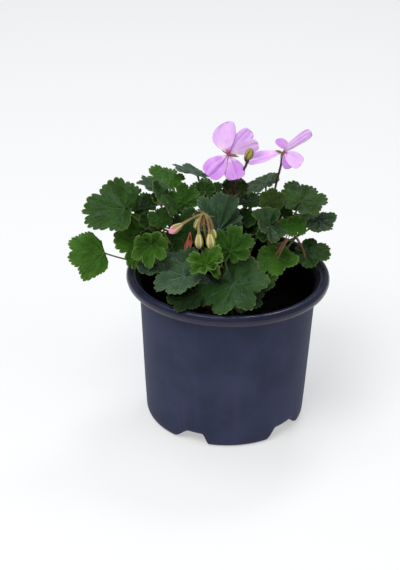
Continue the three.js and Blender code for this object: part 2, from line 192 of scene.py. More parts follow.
def frame_leaf(node):
    """The plan of a frame leaf."""
    bm = merged_frame_mesh(node)
    rings = rings_between_poles(bm, LEAF_SIDES)
    spans = [max((v.co - middle(r)).length for v in r) for r in rings]
    if spans.index(max(spans)) < len(rings) / 2:
        rings.reverse()
    petiole = [middle(r).copy() for r in rings[:PETIOLE_RINGS]]
    hub, upper = rings[HUB][0], rings[UPPER_RIM]
    notch = min(upper, key=lambda v: (v.co - hub.co).length)
    order = walk_ring(upper, notch)
    side = sum((order[TIP + k].co - order[TIP - k].co for k in range(1, 6)), Vector()).normalized()
    midrib = order[TIP].co - hub.co
    midrib = (midrib - midrib.project(side)).normalized()
    normal = midrib.cross(side).normalized()
    if normal.dot(hub.co - petiole[-1]) < 0:
        side.negate()
        normal.negate()
        order = [order[0]] + order[:0:-1]
    plan = LeafPlan(petiole, hub.co.copy(), midrib, side, normal)
    for j, vert in enumerate(order + [order[0]]):
        plan.add_margin(vert.co - plan.hub, -math.pi + TURN * j / LEAF_SIDES)
    bm.free()
    return plan


# reach of a young leaf's margin, by steps from the basal notch to the tip
YOUNG_REACH = (0.25, 0.9, 0.88, 1.0, 0.88, 1.0, 0.88, 1.0)
YOUNG_CUP = 0.12


def small_leaf(foot, hub, heading, droop, roll, radius):
    """The plan of a young leaf on a short petiole, with angles in degrees."""
    turned = (
        Matrix.Rotation(math.radians(heading), 3, "Z")
        @ Matrix.Rotation(math.radians(droop), 3, "Y")
        @ Matrix.Rotation(math.radians(roll), 3, "X")
    )
    midrib, side, normal = (turned.col[k].copy() for k in range(3))
    below = hub - normal * 2 * MM
    petiole = [foot, foot.lerp(below, 0.2), foot.lerp(below, 0.55), foot.lerp(below, 0.8), below]
    plan = LeafPlan(petiole, hub, midrib, side, normal)
    for j in range(LEAF_SIDES + 1):
        angle = -math.pi + TURN * j / LEAF_SIDES
        share = YOUNG_REACH[min(j, LEAF_SIDES - j)]
        arm = spoke(midrib, side, angle)
        plan.add_margin(arm * radius * share + normal * YOUNG_CUP * radius * share, angle)
    return plan


def between(values, angle, power=1.0):
    """A value read off the steps round a leaf, for an angle from minus to plus half a turn."""
    place = (angle + math.pi) / TURN * LEAF_SIDES
    low = max(0, min(int(place), LEAF_SIDES - 1))
    share = min(max(place - low, 0.0), 1.0)
    if low % 2 == 0:
        share = 1 - (1 - share) ** power
    else:
        share = share**power
    return values[low] * (1 - share) + values[low + 1] * share


# ---------------------------------------------------------------- mesh helpers
def eased(value, low, high):
    share = max(0.0, min(1.0, (value - low) / (high - low)))
    return share * share * (3 - 2 * share)


def finished(name, bm, materials, nodes=()):
    """Makes a bmesh a piece of the object, standing for the given frame nodes."""
    mesh = bpy.data.meshes.new(name)
    bm.to_mesh(mesh)
    bm.free()
    for material in materials:
        mesh.materials.append(material)
    mesh.shade_smooth()
    piece = bpy.data.objects.new(name, mesh)
    scene.collection.objects.link(piece)
    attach(piece, "root")
    if nodes:
        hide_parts(*nodes)


def across_of(direction, hint):
    """Two directions square to a line, the first as near the hint as it can be."""
    across = hint - hint.project(direction)
    if across.length < 1e-6:
        across = Vector((1, 0, 0)) - Vector((1, 0, 0)).project(direction)
    across.normalize()
    return across, direction.cross(across)


def smooth_path(points, count):
    """Evenly numbered points on a smooth curve through the given points."""
    spans = len(points) - 1
    path = []
    for i in range(count):
        place = spans * i / (count - 1)
        k = min(int(place), spans - 1)
        t = place - k
        p1, p2 = points[k], points[k + 1]
        p0 = points[k - 1] if k > 0 else p1 * 2 - p2
        p3 = points[k + 2] if k + 2 <= spans else p2 * 2 - p1
        ahead = (p2 - p0) * t
        bend = (p0 * 2 - p1 * 5 + p2 * 4 - p3) * t * t
        twist = (p1 * 3 - p0 - p2 * 3 + p3) * t * t * t
        path.append(0.5 * (p1 * 2 + ahead + bend + twist))
    return path


def tube(bm, path, radii, sides=10, material=0, bumps=None, marks=None):
    """A closed round rod along a path.

    bumps(share, angle) may vary its radius, and marks names two number layers
    that keep the share of the length and the ridge, cos of five times the angle.
    """
    ring = bmesh.ops.create_circle(bm, segments=sides, radius=1)["verts"]
    flat = [v.co.copy() for v in ring]
    first, faces, across = list(ring), [], None
    for i, point in enumerate(path):
        direction = (path[min(i + 1, len(path) - 1)] - path[max(i - 1, 0)]).normalized()
        hint = across if across is not None else Vector((0.31, -0.2, 1)).cross(direction)
        across, other = across_of(direction, hint)
        if i > 0:
            edges = [bm.edges.get((a, b)) for a, b in zip(ring, ring[1:] + ring[:1])]
            grown = bmesh.ops.extrude_edge_only(bm, edges=edges)["geom"]
            faces += [g for g in grown if isinstance(g, bmesh.types.BMFace)]
            new = {g for g in grown if isinstance(g, bmesh.types.BMVert)}
            ring = [next(e.other_vert(v) for e in v.link_edges if e.other_vert(v) in new) for v in ring]
        share = i / (len(path) - 1)
        for vert, spot in zip(ring, flat):
            size = radii[i]
            angle = math.atan2(spot.y, spot.x)
            if bumps is not None:
                size *= bumps(share, angle)
            vert.co = point + (across * spot.x + other * spot.y) * size
            if marks is not None:
                vert[marks[0]] = share
                vert[marks[1]] = math.cos(5 * angle)
    for loop in (first, ring):
        faces += bmesh.ops.contextual_create(
            bm, geom=[bm.edges.get((a, b)) for a, b in zip(loop, loop[1:] + loop[:1])]
        )["faces"]
    bmesh.ops.recalc_face_normals(bm, faces=faces)
    for face in faces:
        face.material_index = material
        face.smooth = True
    return faces


def tapered(start, end, count):
    return [start + (end - start) * i / (count - 1) for i in range(count)]


def rod(bm, points, count, start, end, sides=8):
    """A closed round rod on a smooth curve, from one radius to another."""
    tube(bm, smooth_path(points, count), tapered(start, end, count), sides)


def read_at(values, share):
    """A value read off a list at a share of its length."""
    place = share * (len(values) - 1)
    low = min(int(place), len(values) - 2)
    return values[low] + (values[low + 1] - values[low]) * (place - low)


def set_map(faces, layer, spot):
    """Gives every corner of some faces one place on their sheet's map."""
    for face in faces:
        for loop in face.loops:
            loop[layer].uv = spot


# ---------------------------------------------------------------- materials
class Finish:
    """A material's node tree, with one short call for each kind of node."""

    def __init__(self, name, **constants):
        self.material = bpy.data.materials.new(name)
        self.material.use_nodes = True
        self.tree = self.material.node_tree
        self.shader = self.tree.nodes["Principled BSDF"]
        for socket, value in constants.items():
            self.shader.inputs[socket.replace("_", " ")].default_value = value

    def add(self, kind, inputs=None, **settings):
        node = self.tree.nodes.new(kind)
        for key, value in settings.items():
            setattr(node, key, value)
        for key, value in (inputs or {}).items():
            self.put(value, node.inputs[key])
        return node

    def put(self, value, socket):
        if isinstance(value, bpy.types.NodeSocket):
            self.tree.links.new(value, socket)
        else:
            socket.default_value = value

    def math(self, operation, a, b=0.0, c=0.0, clamp=False):
        node = self.add("ShaderNodeMath", {0: a, 1: b, 2: c}, operation=operation)
        node.use_clamp = clamp
        return node.outputs[0]

    def mix(self, share, a, b):
        node = self.add("ShaderNodeMix", data_type="RGBA")
        self.put(share, node.inputs[0])
        self.put(a, node.inputs[6])
        self.put(b, node.inputs[7])
        return node.outputs[2]

    def ease(self, value, low, high, start=0.0, end=1.0):
        node = self.add(
            "ShaderNodeMapRange",
            {0: value, 1: low, 2: high, 3: start, 4: end},
            interpolation_type="SMOOTHSTEP",
        )
        return node.outputs[0]

    def place(self):
        return self.add("ShaderNodeTexCoord").outputs["Object"]

    def mark(self, name):
        return self.add("ShaderNodeAttribute", attribute_name=name).outputs["Fac"]

    def noise(self, scale, detail=3.0, rough=0.55, where=None):
        node = self.add(
            "ShaderNodeTexNoise", {"Scale": scale, "Detail": detail, "Roughness": rough}
        )
        self.put(where if where is not None else self.place(), node.inputs["Vector"])
        return node.outputs[0]

    def bump(self, height, distance, strength=1.0, below=None):
        node = self.add("ShaderNodeBump", {"Strength": strength, "Distance": distance})
        self.put(height, node.inputs["Height"])
        if below is not None:
            self.put(below, node.inputs["Normal"])
        return node.outputs[0]

    def colour(self, value):
        self.put(value, self.shader.inputs["Base Color"])

    def rough(self, value):
        self.put(value, self.shader.inputs["Roughness"])

    def normal(self, value):
        self.put(value, self.shader.inputs["Normal"])


def rgb(r, g, b):
    """A colour given as it looks on a screen, 0 to 255, made linear."""
    parts = [c / 255 for c in (r, g, b)]
    return tuple(((c + 0.055) / 1.055) ** 2.4 if c > 0.04045 else c / 12.92 for c in parts) + (1,)


def blended(a, b, share):
    return tuple(x * (1 - share) + y * share for x, y in zip(a, b))


LOBES = 7
LOBE = TURN / LOBES
LOBE_SHIFT = LOBES + LOBES / 2  # keeps the count of lobes positive, with the middle one at the tip


LEAF_EDGE = rgb(128, 148, 84)


def leaf_finish(name, blade, vein, rough, vein_strength, edge_strength, bloom, gloss, under=False):
    """Blade colour with seven main veins, forked side veins and a fine net between them."""
    f = Finish(
        name,
        Specular_IOR_Level=gloss,
        Sheen_Weight=bloom,
        Sheen_Roughness=0.3,
        Sheen_Tint=(0.7, 0.86, 1.0, 1),
    )
    uv = f.add("ShaderNodeUVMap", uv_map="blade").outputs[0]
    split = f.add("ShaderNodeSeparateXYZ", {0: uv})
    x = f.math("MULTIPLY_ADD", split.outputs[0], 2.0, -1.0)
    y = f.math("MULTIPLY_ADD", split.outputs[1], 2.0, -1.0)
    radius = f.math("SQRT", f.math("ADD", f.math("MULTIPLY", x, x), f.math("MULTIPLY", y, y)))
    wobble = f.math("MULTIPLY_ADD", f.noise(7.0, 2.0, where=uv), 0.2, -0.1)
    angle = f.math("ADD", f.math("ARCTAN2", y, x), wobble)
    turns = f.math("ADD", f.math("DIVIDE", angle, LOBE), LOBE_SHIFT)
    local = f.math("SUBTRACT", f.math("FRACT", turns), 0.5)
    arc = f.math("MULTIPLY", radius, LOBE)
    aside = f.math("MULTIPLY", f.math("ABSOLUTE", local), arc)
    width = f.math("MULTIPLY_ADD", radius, -0.014, 0.021)
    main = f.ease(f.math("DIVIDE", aside, width), 0.3, 1.7, 1.0, 0.0)
    main = f.math("MULTIPLY", main, f.ease(radius, 0.55, 0.95, 1.0, 0.25))
    # a fork leaves each main vein half way out, at about a sixth of a lobe to each side
    fork = f.math("SUBTRACT", f.math("ABSOLUTE", local), f.ease(radius, 0.4, 1.0, 0.0, 0.27))
    fork = f.math("MULTIPLY", f.math("ABSOLUTE", fork), arc)
    side = f.math("MULTIPLY", f.ease(fork, 0.003, 0.016, 1.0, 0.0), f.ease(radius, 0.4, 0.5))
    net = f.add(
        "ShaderNodeTexVoronoi", {"Scale": 15.0, "Vector": uv}, feature="DISTANCE_TO_EDGE"
    ).outputs[0]
    net = f.ease(net, 0.0, 0.25, 1.0, 0.0)
    patch = f.ease(f.noise(60.0, 4.0), 0.32, 0.68)
    dull = blended(blade, (0.0, 0.004, 0.0, 1), 0.42)
    tone = f.mix(patch, dull, blade)
    tone = f.mix(f.math("MULTIPLY", f.ease(radius, 0.55, 1.0), 0.35), tone, blended(blade, vein, 0.3))
    lines = f.math("MAXIMUM", main, f.math("MULTIPLY", side, 0.6))
    lines = f.math("MAXIMUM", lines, f.math("MULTIPLY", net, 0.14))
    tone = f.mix(f.math("MULTIPLY", lines, vein_strength), tone, vein)
    edge = f.ease(radius, 0.965, 0.995)
    tone = f.mix(f.math("MULTIPLY", edge, edge_strength), tone, LEAF_EDGE)
    f.colour(tone)
    f.rough(f.math("MULTIPLY_ADD", patch, 0.12, rough))
    relief = f.math("MAXIMUM", f.math("MULTIPLY", main, 1.0), f.math("MULTIPLY", side, 0.7))
    relief = f.math("MAXIMUM", relief, f.math("MULTIPLY", net, 0.2))
    if not under:
        relief = f.math("SUBTRACT", 1.0, relief)
    soft = f.bump(relief, 0.0011, 0.9)
    soft = f.bump(f.noise(9.0, 2.0, where=uv), 0.006, 0.35, below=soft)
    f.normal(f.bump(f.noise(500.0, 2.0), 0.00008, 0.3, below=soft))
    return f.material


def plain_finish(name, colour, other, patches, rough, grain, depth, gloss=0.5):
    """A finish that wanders between two colours, with a fine grain."""
    f = Finish(name, Roughness=rough, Specular_IOR_Level=gloss)
    f.colour(f.mix(f.ease(f.noise(patches, 4.0), 0.3, 0.7), rgb(*colour), rgb(*other)))
    f.normal(f.bump(f.noise(grain, 4.0), depth, 0.8))
    return f.material


# finish: its two colours, scale of the patches, roughness, scale and depth of the grain, gloss
PLAIN_FINISHES = {
    "petiole": ((108, 124, 62), (118, 108, 62), 60.0, 0.6, 700.0, 0.0002, 0.25),
    "stem_bark": ((74, 72, 36), (60, 78, 36), 45.0, 0.65, 420.0, 0.0005, 0.3),
    "papery_stipule": ((124, 88, 62), (172, 134, 106), 90.0, 0.7, 500.0, 0.0002),
    "ruddy_stipule": ((160, 80, 60), (196, 112, 86), 90.0, 0.6, 500.0, 0.0002),
    "crown_bract": ((92, 82, 44), (112, 74, 48), 90.0, 0.6, 500.0, 0.0002),
    "flower_stalk": ((74, 40, 40), (64, 47, 38), 120.0, 0.6, 600.0, 0.0003),
    "sepal": ((118, 124, 66), (140, 118, 76), 140.0, 0.6, 600.0, 0.0002),
    "flower_column": ((186, 74, 126), (208, 116, 166), 300.0, 0.5, 900.0, 0.0001),
    "anther": ((196, 110, 70), (214, 150, 96), 500.0, 0.7, 900.0, 0.0001),
    "pedicel": ((152, 142, 84), (122, 88, 62), 90.0, 0.6, 600.0, 0.0002),
    "umbel_bract": ((108, 72, 48), (150, 116, 80), 140.0, 0.7, 600.0, 0.0002),
}
plain = {name: plain_finish(name, *row) for name, row in PLAIN_FINISHES.items()}


# kind: blade colour, vein colour, roughness, how far veins and edge stand out, bloom, gloss
LEAF_KINDS = {
    "shade": ((22, 42, 14), (48, 68, 32), 0.5, 0.25, 0.2, 0.0, 0.2),
    "dark": ((31, 60, 17), (66, 94, 42), 0.46, 0.3, 0.3, 0.02, 0.28),
    "mid": ((40, 76, 18), (88, 120, 54), 0.44, 0.36, 0.5, 0.01, 0.26),
    "fresh": ((45, 87, 18), (98, 134, 56), 0.44, 0.4, 0.5, 0.02, 0.26),
    "bright": ((56, 102, 22), (114, 150, 62), 0.44, 0.42, 0.6, 0.02, 0.28),
    "young": ((62, 112, 24), (126, 164, 68), 0.42, 0.45, 0.7, 0.0, 0.28),
    # painted sheen: a bluish blade colour, added to the shader's own sheen
    "blue_sheen": ((42, 74, 34), (80, 106, 66), 0.46, 0.3, 0.4, 0.14, 0.3),
    "veiled": ((38, 72, 25), (86, 114, 64), 0.4, 0.34, 0.5, 0.17, 0.38),
    # painted sheen: a grey-blue blade colour, added to the shader's own sheen
    "grey": ((50, 78, 46), (84, 108, 74), 0.5, 0.3, 0.4, 0.28, 0.3),
    # painted light and sheen: a lighter grey-green blade colour for leaves that catch the light
    "pale": ((66, 95, 62), (100, 124, 88), 0.48, 0.32, 0.4, 0.36, 0.3),
    "olive": ((50, 74, 22), (92, 108, 50), 0.48, 0.35, 0.4, 0.02, 0.3),
    "gloss": ((29, 63, 15), (80, 112, 54), 0.3, 0.35, 0.4, 0.03, 0.6),
    "ruddy": ((41, 76, 18), (94, 100, 50), 0.44, 0.36, 0.4, 0.03, 0.26),
}
leaf_materials = {}
for kind, (blade, vein, rough, strength, edge, bloom, gloss) in LEAF_KINDS.items():
    blade, vein = rgb(*blade), rgb(*vein)
    pale = blended(blade, rgb(120, 146, 96), 0.35)
    leaf_materials[kind] = (
        leaf_finish("leaf_upper_" + kind, blade, vein, rough, strength, edge, bloom, gloss),
        leaf_finish("leaf_under_" + kind, pale, vein, 0.68, 0.55, edge, 0.2, 0.2, under=True),
    )


# ---------------------------------------------------------------- leaves
TEETH = 35
TEETH_SHIFT = 2 * TEETH + 0.5  # keeps the count of teeth positive, with one at the tip
SPOKES = TEETH * 6
CIRCLES = 13
BLADE_THICKNESS = 0.5 * MM
PETIOLE_STEPS = 14
UNDERSIDE, PETIOLE = 1, 2  # places in a leaf's list of materials
BLADE_MARGIN = (0.992, 0.5)
MAP_MIDDLE = (0.5, 0.5)


def flat_disc(spokes, circles):
    """A flat round sheet of radius one: a middle fan and rings of squares round it."""
    bm = bmesh.new()
    bmesh.ops.create_circle(
        bm,
        cap_ends=True,
        cap_tris=True,
        segments=spokes,
        radius=1 / circles,
        matrix=Matrix.Rotation(-math.pi / 2, 4, "Z"),
    )
    rim = [e for e in bm.edges if e.is_boundary]
    for step in range(2, circles + 1):
        grown = bmesh.ops.extrude_edge_only(bm, edges=rim)["geom"]
        new = [g for g in grown if isinstance(g, bmesh.types.BMVert)]
        bmesh.ops.scale(bm, vec=(step / (step - 1),) * 3, verts=new)
        rim = [g for g in grown if isinstance(g, bmesh.types.BMEdge) and g.is_boundary]
    bmesh.ops.recalc_face_normals(bm, faces=bm.faces)
    if sum(f.normal.z for f in bm.faces) < 0:
        bmesh.ops.reverse_faces(bm, faces=bm.faces)
    return bm


def keep_flat_map(bm, name):
    """Stores each face corner's place on the flat disc as the sheet's own map."""
    layer = bm.loops.layers.uv.new(name)
    for face in bm.faces:
        for loop in face.loops:
            loop[layer].uv = (0.5 + 0.5 * loop.vert.co.x, 0.5 + 0.5 * loop.vert.co.y)
    return layer


def thicken(bm, thickness, lower_material):
    """Gives a sheet a lower face and a rim, and returns the rim's faces."""
    top = list(bm.faces)
    copy = bmesh.ops.duplicate(bm, geom=list(bm.verts) + list(bm.edges) + top)["geom"]
    bottom = [g for g in copy if isinstance(g, bmesh.types.BMFace)]
    down = [g for g in copy if isinstance(g, bmesh.types.BMVert)]
    bm.normal_update()
    shifts = [v.normal * thickness for v in down]
    for vert, shift in zip(down, shifts):
        vert.co -= shift
    bmesh.ops.reverse_faces(bm, faces=bottom)
    for face in bottom:
        face.material_index = lower_material
    edges = [e for e in bm.edges if e.is_boundary]
    return bmesh.ops.bridge_loops(bm, edges=edges)["faces"]


def blade_height(x, y, share, angle, offset, phases, fold, ruffle, wave):
    """How far a blade rises from its flat shape, as a share of its radius."""
    local = (angle / LOBE + LOBE_SHIFT) % 1 - 0.5
    lobe = int(angle / LOBE + LOBE_SHIFT)
    rise = fold * share * (0.5 - 0.5 * math.cos(TURN * local)) * (1.1 - 0.5 * share)
    rise += wave * share**2.5 * phases[lobe % LOBES] * math.cos(math.pi * local)
    rise += ruffle * share**3 * math.sin(angle * 9 + phases[0] * 3)
    rise += 0.14 * share**1.5 * noise.noise(offset + Vector((x, y, 0)) * 1.2)
    rise += 0.032 * noise.noise(offset * 2 + Vector((x, y, 0)) * 5.0) * min(1, share * 3)
    return rise


def leaf_piece(
    name,
    plan,
    kind,
    seed,
    nodes=(),
    tooth=0.085,  # height of the scallops
    sinus=0.08,  # depth of the notch between two lobes
    ruffle=0.014,  # short waves along the margin
    fold=0.085,  # rise between the main veins
    wave=0.08,  # rise or fall of whole lobes
    cup=0.0,  # rise of the whole margin
    ears=0.0,  # rise of the basal lobes
    tip=0.0,  # rise of the end of the midrib
    stalk=1.0,  # fatness of the petiole
    trim=(0.0, 0.0),  # what the right and the left basal lobe lose
    lift=0.0,  # rise of one side, the left one if it is above zero
    gape=0.42,  # widest half angle of the basal notch
    grow=1.0,  # size against the frame's blade
    short=0.0,  # what both basal lobes lose
    stub=0.0,  # what the end of the midrib loses
):
    """A blade with its petiole. Its shape settings are shares of the blade's radius."""
    rnd = random.Random(seed)
    radius = plan.reach[TIP]
    fan = plan.fan_with(gape)
    phases = [rnd.uniform(-1, 1) for _ in range(LOBES)]
    sizes = [rnd.uniform(0.65, 1.25) for _ in range(TEETH)]
    offset = Vector((rnd.uniform(0, 50), rnd.uniform(0, 50), rnd.uniform(0, 50)))

    def place(x, y):
        share = min(math.hypot(x, y), 1.0)
        if share < 1e-6:
            return plan.hub.copy()
        angle = math.atan2(y, x)
        warp = angle + 0.05 * noise.noise(offset + Vector((math.cos(angle), math.sin(angle), 0)) * 2)
        warp = max(-math.pi, min(math.pi, warp))
        reach = between(plan.reach, warp, 2.0) * grow
        reach *= 1 - trim[0] * eased(-angle, 1.3, 2.1) - trim[1] * eased(angle, 1.3, 2.1)
        reach *= 1 - short * eased(abs(angle), 2.1, 2.7) - stub * (1 - eased(abs(angle), 0.2, 0.9))
        turn = between(fan, angle)
        steps = angle / TURN * TEETH + TEETH_SHIFT
        scallop = 1 - abs(2 * (steps % 1) - 1) ** 2.3
        basal = max(0.0, min(1.0, (math.pi - abs(angle)) / 0.3))
        teeth = tooth * sizes[int(steps) % TEETH] * (scallop - 0.7) * basal
        local = (angle / LOBE + LOBE_SHIFT) % 1 - 0.5
        cut = max(0.0, 1 - (0.5 - abs(local)) / 0.2) ** 1.4 * sinus * basal
        swell = 0.09 * noise.noise(offset * 1.3 + Vector((math.cos(angle), math.sin(angle), 2)) * 2.4)
        arm = reach * share * (1 + (teeth - cut + swell) * share**2.5)
        raised = between(plan.lift, angle) * share**2
        rise = blade_height(x, y, share, angle, offset, phases, fold, ruffle, wave)
        rise += cup * share**2 + tip * share**3 * max(0.0, x)
        rise += ears * share**1.5 * max(0.0, min(1.0, (abs(angle) - 1.2) / 0.8))
        rise += lift * share**1.5 * eased(angle * math.copysign(1, lift), 0.5, 1.6)
        return (
            plan.hub
            + plan.midrib * (arm * math.cos(turn))
            + plan.side * (arm * math.sin(turn))
            + plan.normal * (raised + rise * radius)
        )

    bm = flat_disc(SPOKES, CIRCLES)
    layer = keep_flat_map(bm, "blade")
    for vert in bm.verts:
        vert.co = place(vert.co.x, vert.co.y)
    set_map(thicken(bm, BLADE_THICKNESS, UNDERSIDE), layer, BLADE_MARGIN)
    foot = plan.petiole[0]
    inward = (foot - plan.petiole[2]).normalized()
    path = smooth_path([foot + inward * 1.2 * MM, *plan.petiole[2:]], PETIOLE_STEPS + 1)
    path[-1] = plan.hub - plan.normal * 0.4 * MM
    slim = (0.72 + 0.33 * radius / 0.033) * stalk
    radii = []
    for i in range(PETIOLE_STEPS + 1):
        share = i / PETIOLE_STEPS
        flare = 1 + 0.5 * max(0.0, 1 - share / 0.12) + 0.35 * max(0.0, (share - 0.9) / 0.1)
        radii.append(1.1 * slim * (1 - 0.3 * share) * flare * MM)
    set_map(tube(bm, path, radii, 9, PETIOLE), layer, MAP_MIDDLE)
    finished(name, bm, [*leaf_materials[kind], plain["petiole"]], nodes)


# frame leaf: kind, then any of leaf_piece's shape settings
LEAVES = {
    "leaf_left_large": ("mid", {"sinus": 0.1, "wave": 0.2, "fold": 0.15, "short": 0.45}),
    "leaf_left_low": (
        "bright",
        {"sinus": 0.03, "wave": 0.06, "fold": 0.06, "tooth": 0.07, "stalk": 0.75}
        | {"gape": 0.05, "short": 0.3, "trim": (0, 0.22)},
    ),
    "leaf_left_top": ("bright", {"wave": 0.2, "sinus": 0.2, "tooth": 0.11}),
    "leaf_left_deep": ("mid", {}),
    "leaf_left_grey": ("blue_sheen", {}),
    "leaf_top_back": ("grey", {}),
    "leaf_top_mid": ("fresh", {"sinus": 0.14, "wave": 0.14, "fold": 0.12}),
    "leaf_top_dark": ("dark", {"wave": 0.2, "fold": 0.14}),
    "leaf_left_fold": ("mid", {"fold": 0.14}),
    "leaf_left_inner": ("mid", {"wave": 0.14}),
    "leaf_mid_dark": ("dark", {"wave": 0.14}),
    "leaf_centre": ("grey", {"fold": 0.2, "wave": 0.08}),
    "leaf_centre_bright": (
        "fresh",
        {"grow": 0.93, "fold": 0.3, "tooth": 0.13, "sinus": 0.26, "wave": 0.16},
    ),
    "leaf_front_curl": (
        "young",
        {"grow": 1.14, "fold": 0.5, "ruffle": 0.12, "tooth": 0.15, "sinus": 0.36, "wave": 0.6},
    ),
    "leaf_front_large": (
        "veiled",
        {"ears": 0.3, "sinus": 0.11, "wave": 0.16, "tooth": 0.07, "lift": -0.2}
        | {"gape": 0.05, "tip": -0.2, "stub": 0.18, "trim": (-0.2, 0)},
    ),
    "leaf_front_left": ("pale", {"ears": 0.08, "sinus": 0.12, "wave": 0.2, "fold": 0.14}),
    "leaf_front_left_up": ("pale", {"wave": 0.14}),
    "leaf_left_bright": ("bright", {"fold": 0.2, "ears": 0.3, "sinus": 0.22, "cup": 0.1, "wave": 0.42}),
    "leaf_left_dark": ("bright", {"wave": 0.12, "grow": 1.14}),
    "leaf_left_rim": ("grey", {}),
    "leaf_front_low_left": ("shade", {"wave": 0.14}),
    "leaf_front_right_upper": ("mid", {"wave": 0.12, "grow": 1.18}),
    "leaf_front_right_lower": ("grey", {"grow": 1.2}),
    "leaf_right_front": ("bright", {"sinus": 0.07, "ears": 0.15, "wave": 0.12, "trim": (0, 0.35)}),
    "leaf_right_gloss": ("gloss", {"fold": 0.26, "wave": 0.22, "sinus": 0.14}),
    "leaf_right_large": ("ruddy", {"sinus": 0.12, "wave": 0.13, "grow": 0.95}),
    "leaf_top_right": ("gloss", {}),
    "leaf_right_olive": ("olive", {"wave": 0.14}),
    "leaf_top_small": ("dark", {"fold": 0.2, "wave": 0.2}),
    "leaf_right_small": ("dark", {"fold": 0.16, "wave": 0.16}),
    "leaf_far_right": ("gloss", {"fold": 0.13, "wave": 0.12}),
    "leaf_right_low": ("mid", {"ears": 0.1, "wave": 0.12}),
    "leaf_right_inner": ("fresh", {"wave": 0.25, "ruffle": 0.04, "sinus": 0.2}),
    "leaf_back_centre": ("mid", {"wave": 0.12}),
    "leaf_back_left": ("mid", {"wave": 0.12}),
    "leaf_back_right": ("mid", {"wave": 0.12}),
    "leaf_back_low_left": ("dark", {}),
    "leaf_back_low_right": ("dark", {}),
    "leaf_back_far_left": ("bright", {"wave": 0.12}),
    "leaf_back_far_right": ("mid", {"wave": 0.12, "grow": 0.84, "lift": -0.2}),
}
LEAF_SEED, YOUNG_SEED = 100, 300
plans = {}
for number, (node, (kind, shape)) in enumerate(LEAVES.items()):
    plans[node] = frame_leaf(node)
    leaf_piece(node + "_blade", plans[node], kind, LEAF_SEED + number, [node], **shape)


# ---------------------------------------------------------------- stems
STEM_SIDES = 10  # of the frame's stems
STEM_STEPS = 40
STEM_JOINTS = 9


def stem_piece(node):
    """A stem with swollen joints. Gives its line, one point for each step, and its frame radii."""
    line = rod_line(node, STEM_SIDES)
    sizes = [r for _, r in line]
    path = smooth_path([p for p, _ in line], STEM_STEPS + 1)
    radii = []
    for i in range(STEM_STEPS + 1):
        share = i / STEM_STEPS
        joint = math.exp(-(((share * STEM_JOINTS) % 1 - 0.5) ** 2) * 60)
        radii.append(read_at(sizes, share) * (0.9 + 0.18 * joint))
    bm = bmesh.new()
    tube(bm, path, radii, 16, 0, lambda share, a: 1 + 0.03 * math.sin(3 * a + share * 9))
    finished(node + "_bark", bm, [plain["stem_bark"]], [node])
    return path, sizes


SCALE_THICKNESS = 0.22 * MM


def add_scale(bm, foot, direction, outward, length, width):
    """A thin pointed sheet, such as a stipule or a sepal, that leaves its foot and bends outward."""
    disc = flat_disc(20, 5)
    side = direction.cross(outward).normalized()
    for vert in disc.verts:
        along = max(0.0, min(1.0, 0.5 + 0.5 * vert.co.x))
        ring = math.sqrt(max(1 - vert.co.x**2, 1e-9))
        across = max(-1.0, min(1.0, vert.co.y / ring))
        half = 0.5 * width * abs(math.sin(math.pi * along**0.75)) ** 0.8
        bend = 0.35 * length * along**2 + 0.12 * width * across**2
        vert.co = foot + direction * (length * along) + side * (half * across) + outward * bend
    thicken(disc, SCALE_THICKNESS, 0)
    mesh = bpy.data.meshes.new("scale_sheet")
    disc.to_mesh(mesh)
    disc.free()
    bm.from_mesh(mesh)
    bpy.data.meshes.remove(mesh)


stem_paths = {}
for node in sorted(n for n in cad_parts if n.startswith("stem_")):
    stem_paths[node] = stem_piece(node)


def stipules():
    """Small papery scales in pairs at the joints of each stem, the upper ones of the front stem red."""
    brown, red = bmesh.new(), bmesh.new()
    rnd = random.Random(7)
    for node, (path, sizes) in stem_paths.items():
        for share in (0.42, 0.56, 0.7, 0.84, 0.95):
            step = int(share * STEM_STEPS)
            direction = (path[min(step + 1, STEM_STEPS)] - path[step - 1]).normalized()
            across, other = across_of(direction, Vector((1, 0, 0)))
            target = red if node == "stem_front" and share > 0.8 else brown
            for half in (0, 1):
                outward = spoke(across, other, rnd.uniform(0, TURN) + half * math.pi)
                foot = path[step] + outward * sizes[2] * 0.8
                lean = (direction + outward * 0.5).normalized()
                add_scale(target, foot, lean, outward, rnd.uniform(6, 9) * MM, rnd.uniform(2.5, 4) * MM)
    finished("stipules_brown", brown, [plain["papery_stipule"]])
    finished("stipules_red", red, [plain["ruddy_stipule"]])


stipules()


def nearest_on_plant(spot):
    """The closest point to a spot on any stem or petiole."""
    lines = [path for path, _ in stem_paths.values()]
    lines += [smooth_path(plan.petiole, 25) for plan in plans.values()]
    return min((p for line in lines for p in line), key=lambda p: (p - spot).length)


def twig(bm, spot, radius):
    """A thin short stalk from the plant to the foot of a scale."""
    near = nearest_on_plant(spot)
    rod(bm, [near, near.lerp(spot, 0.5) + Vector((0, 0, 0.6 * MM)), spot], 8, radius, radius, 7)


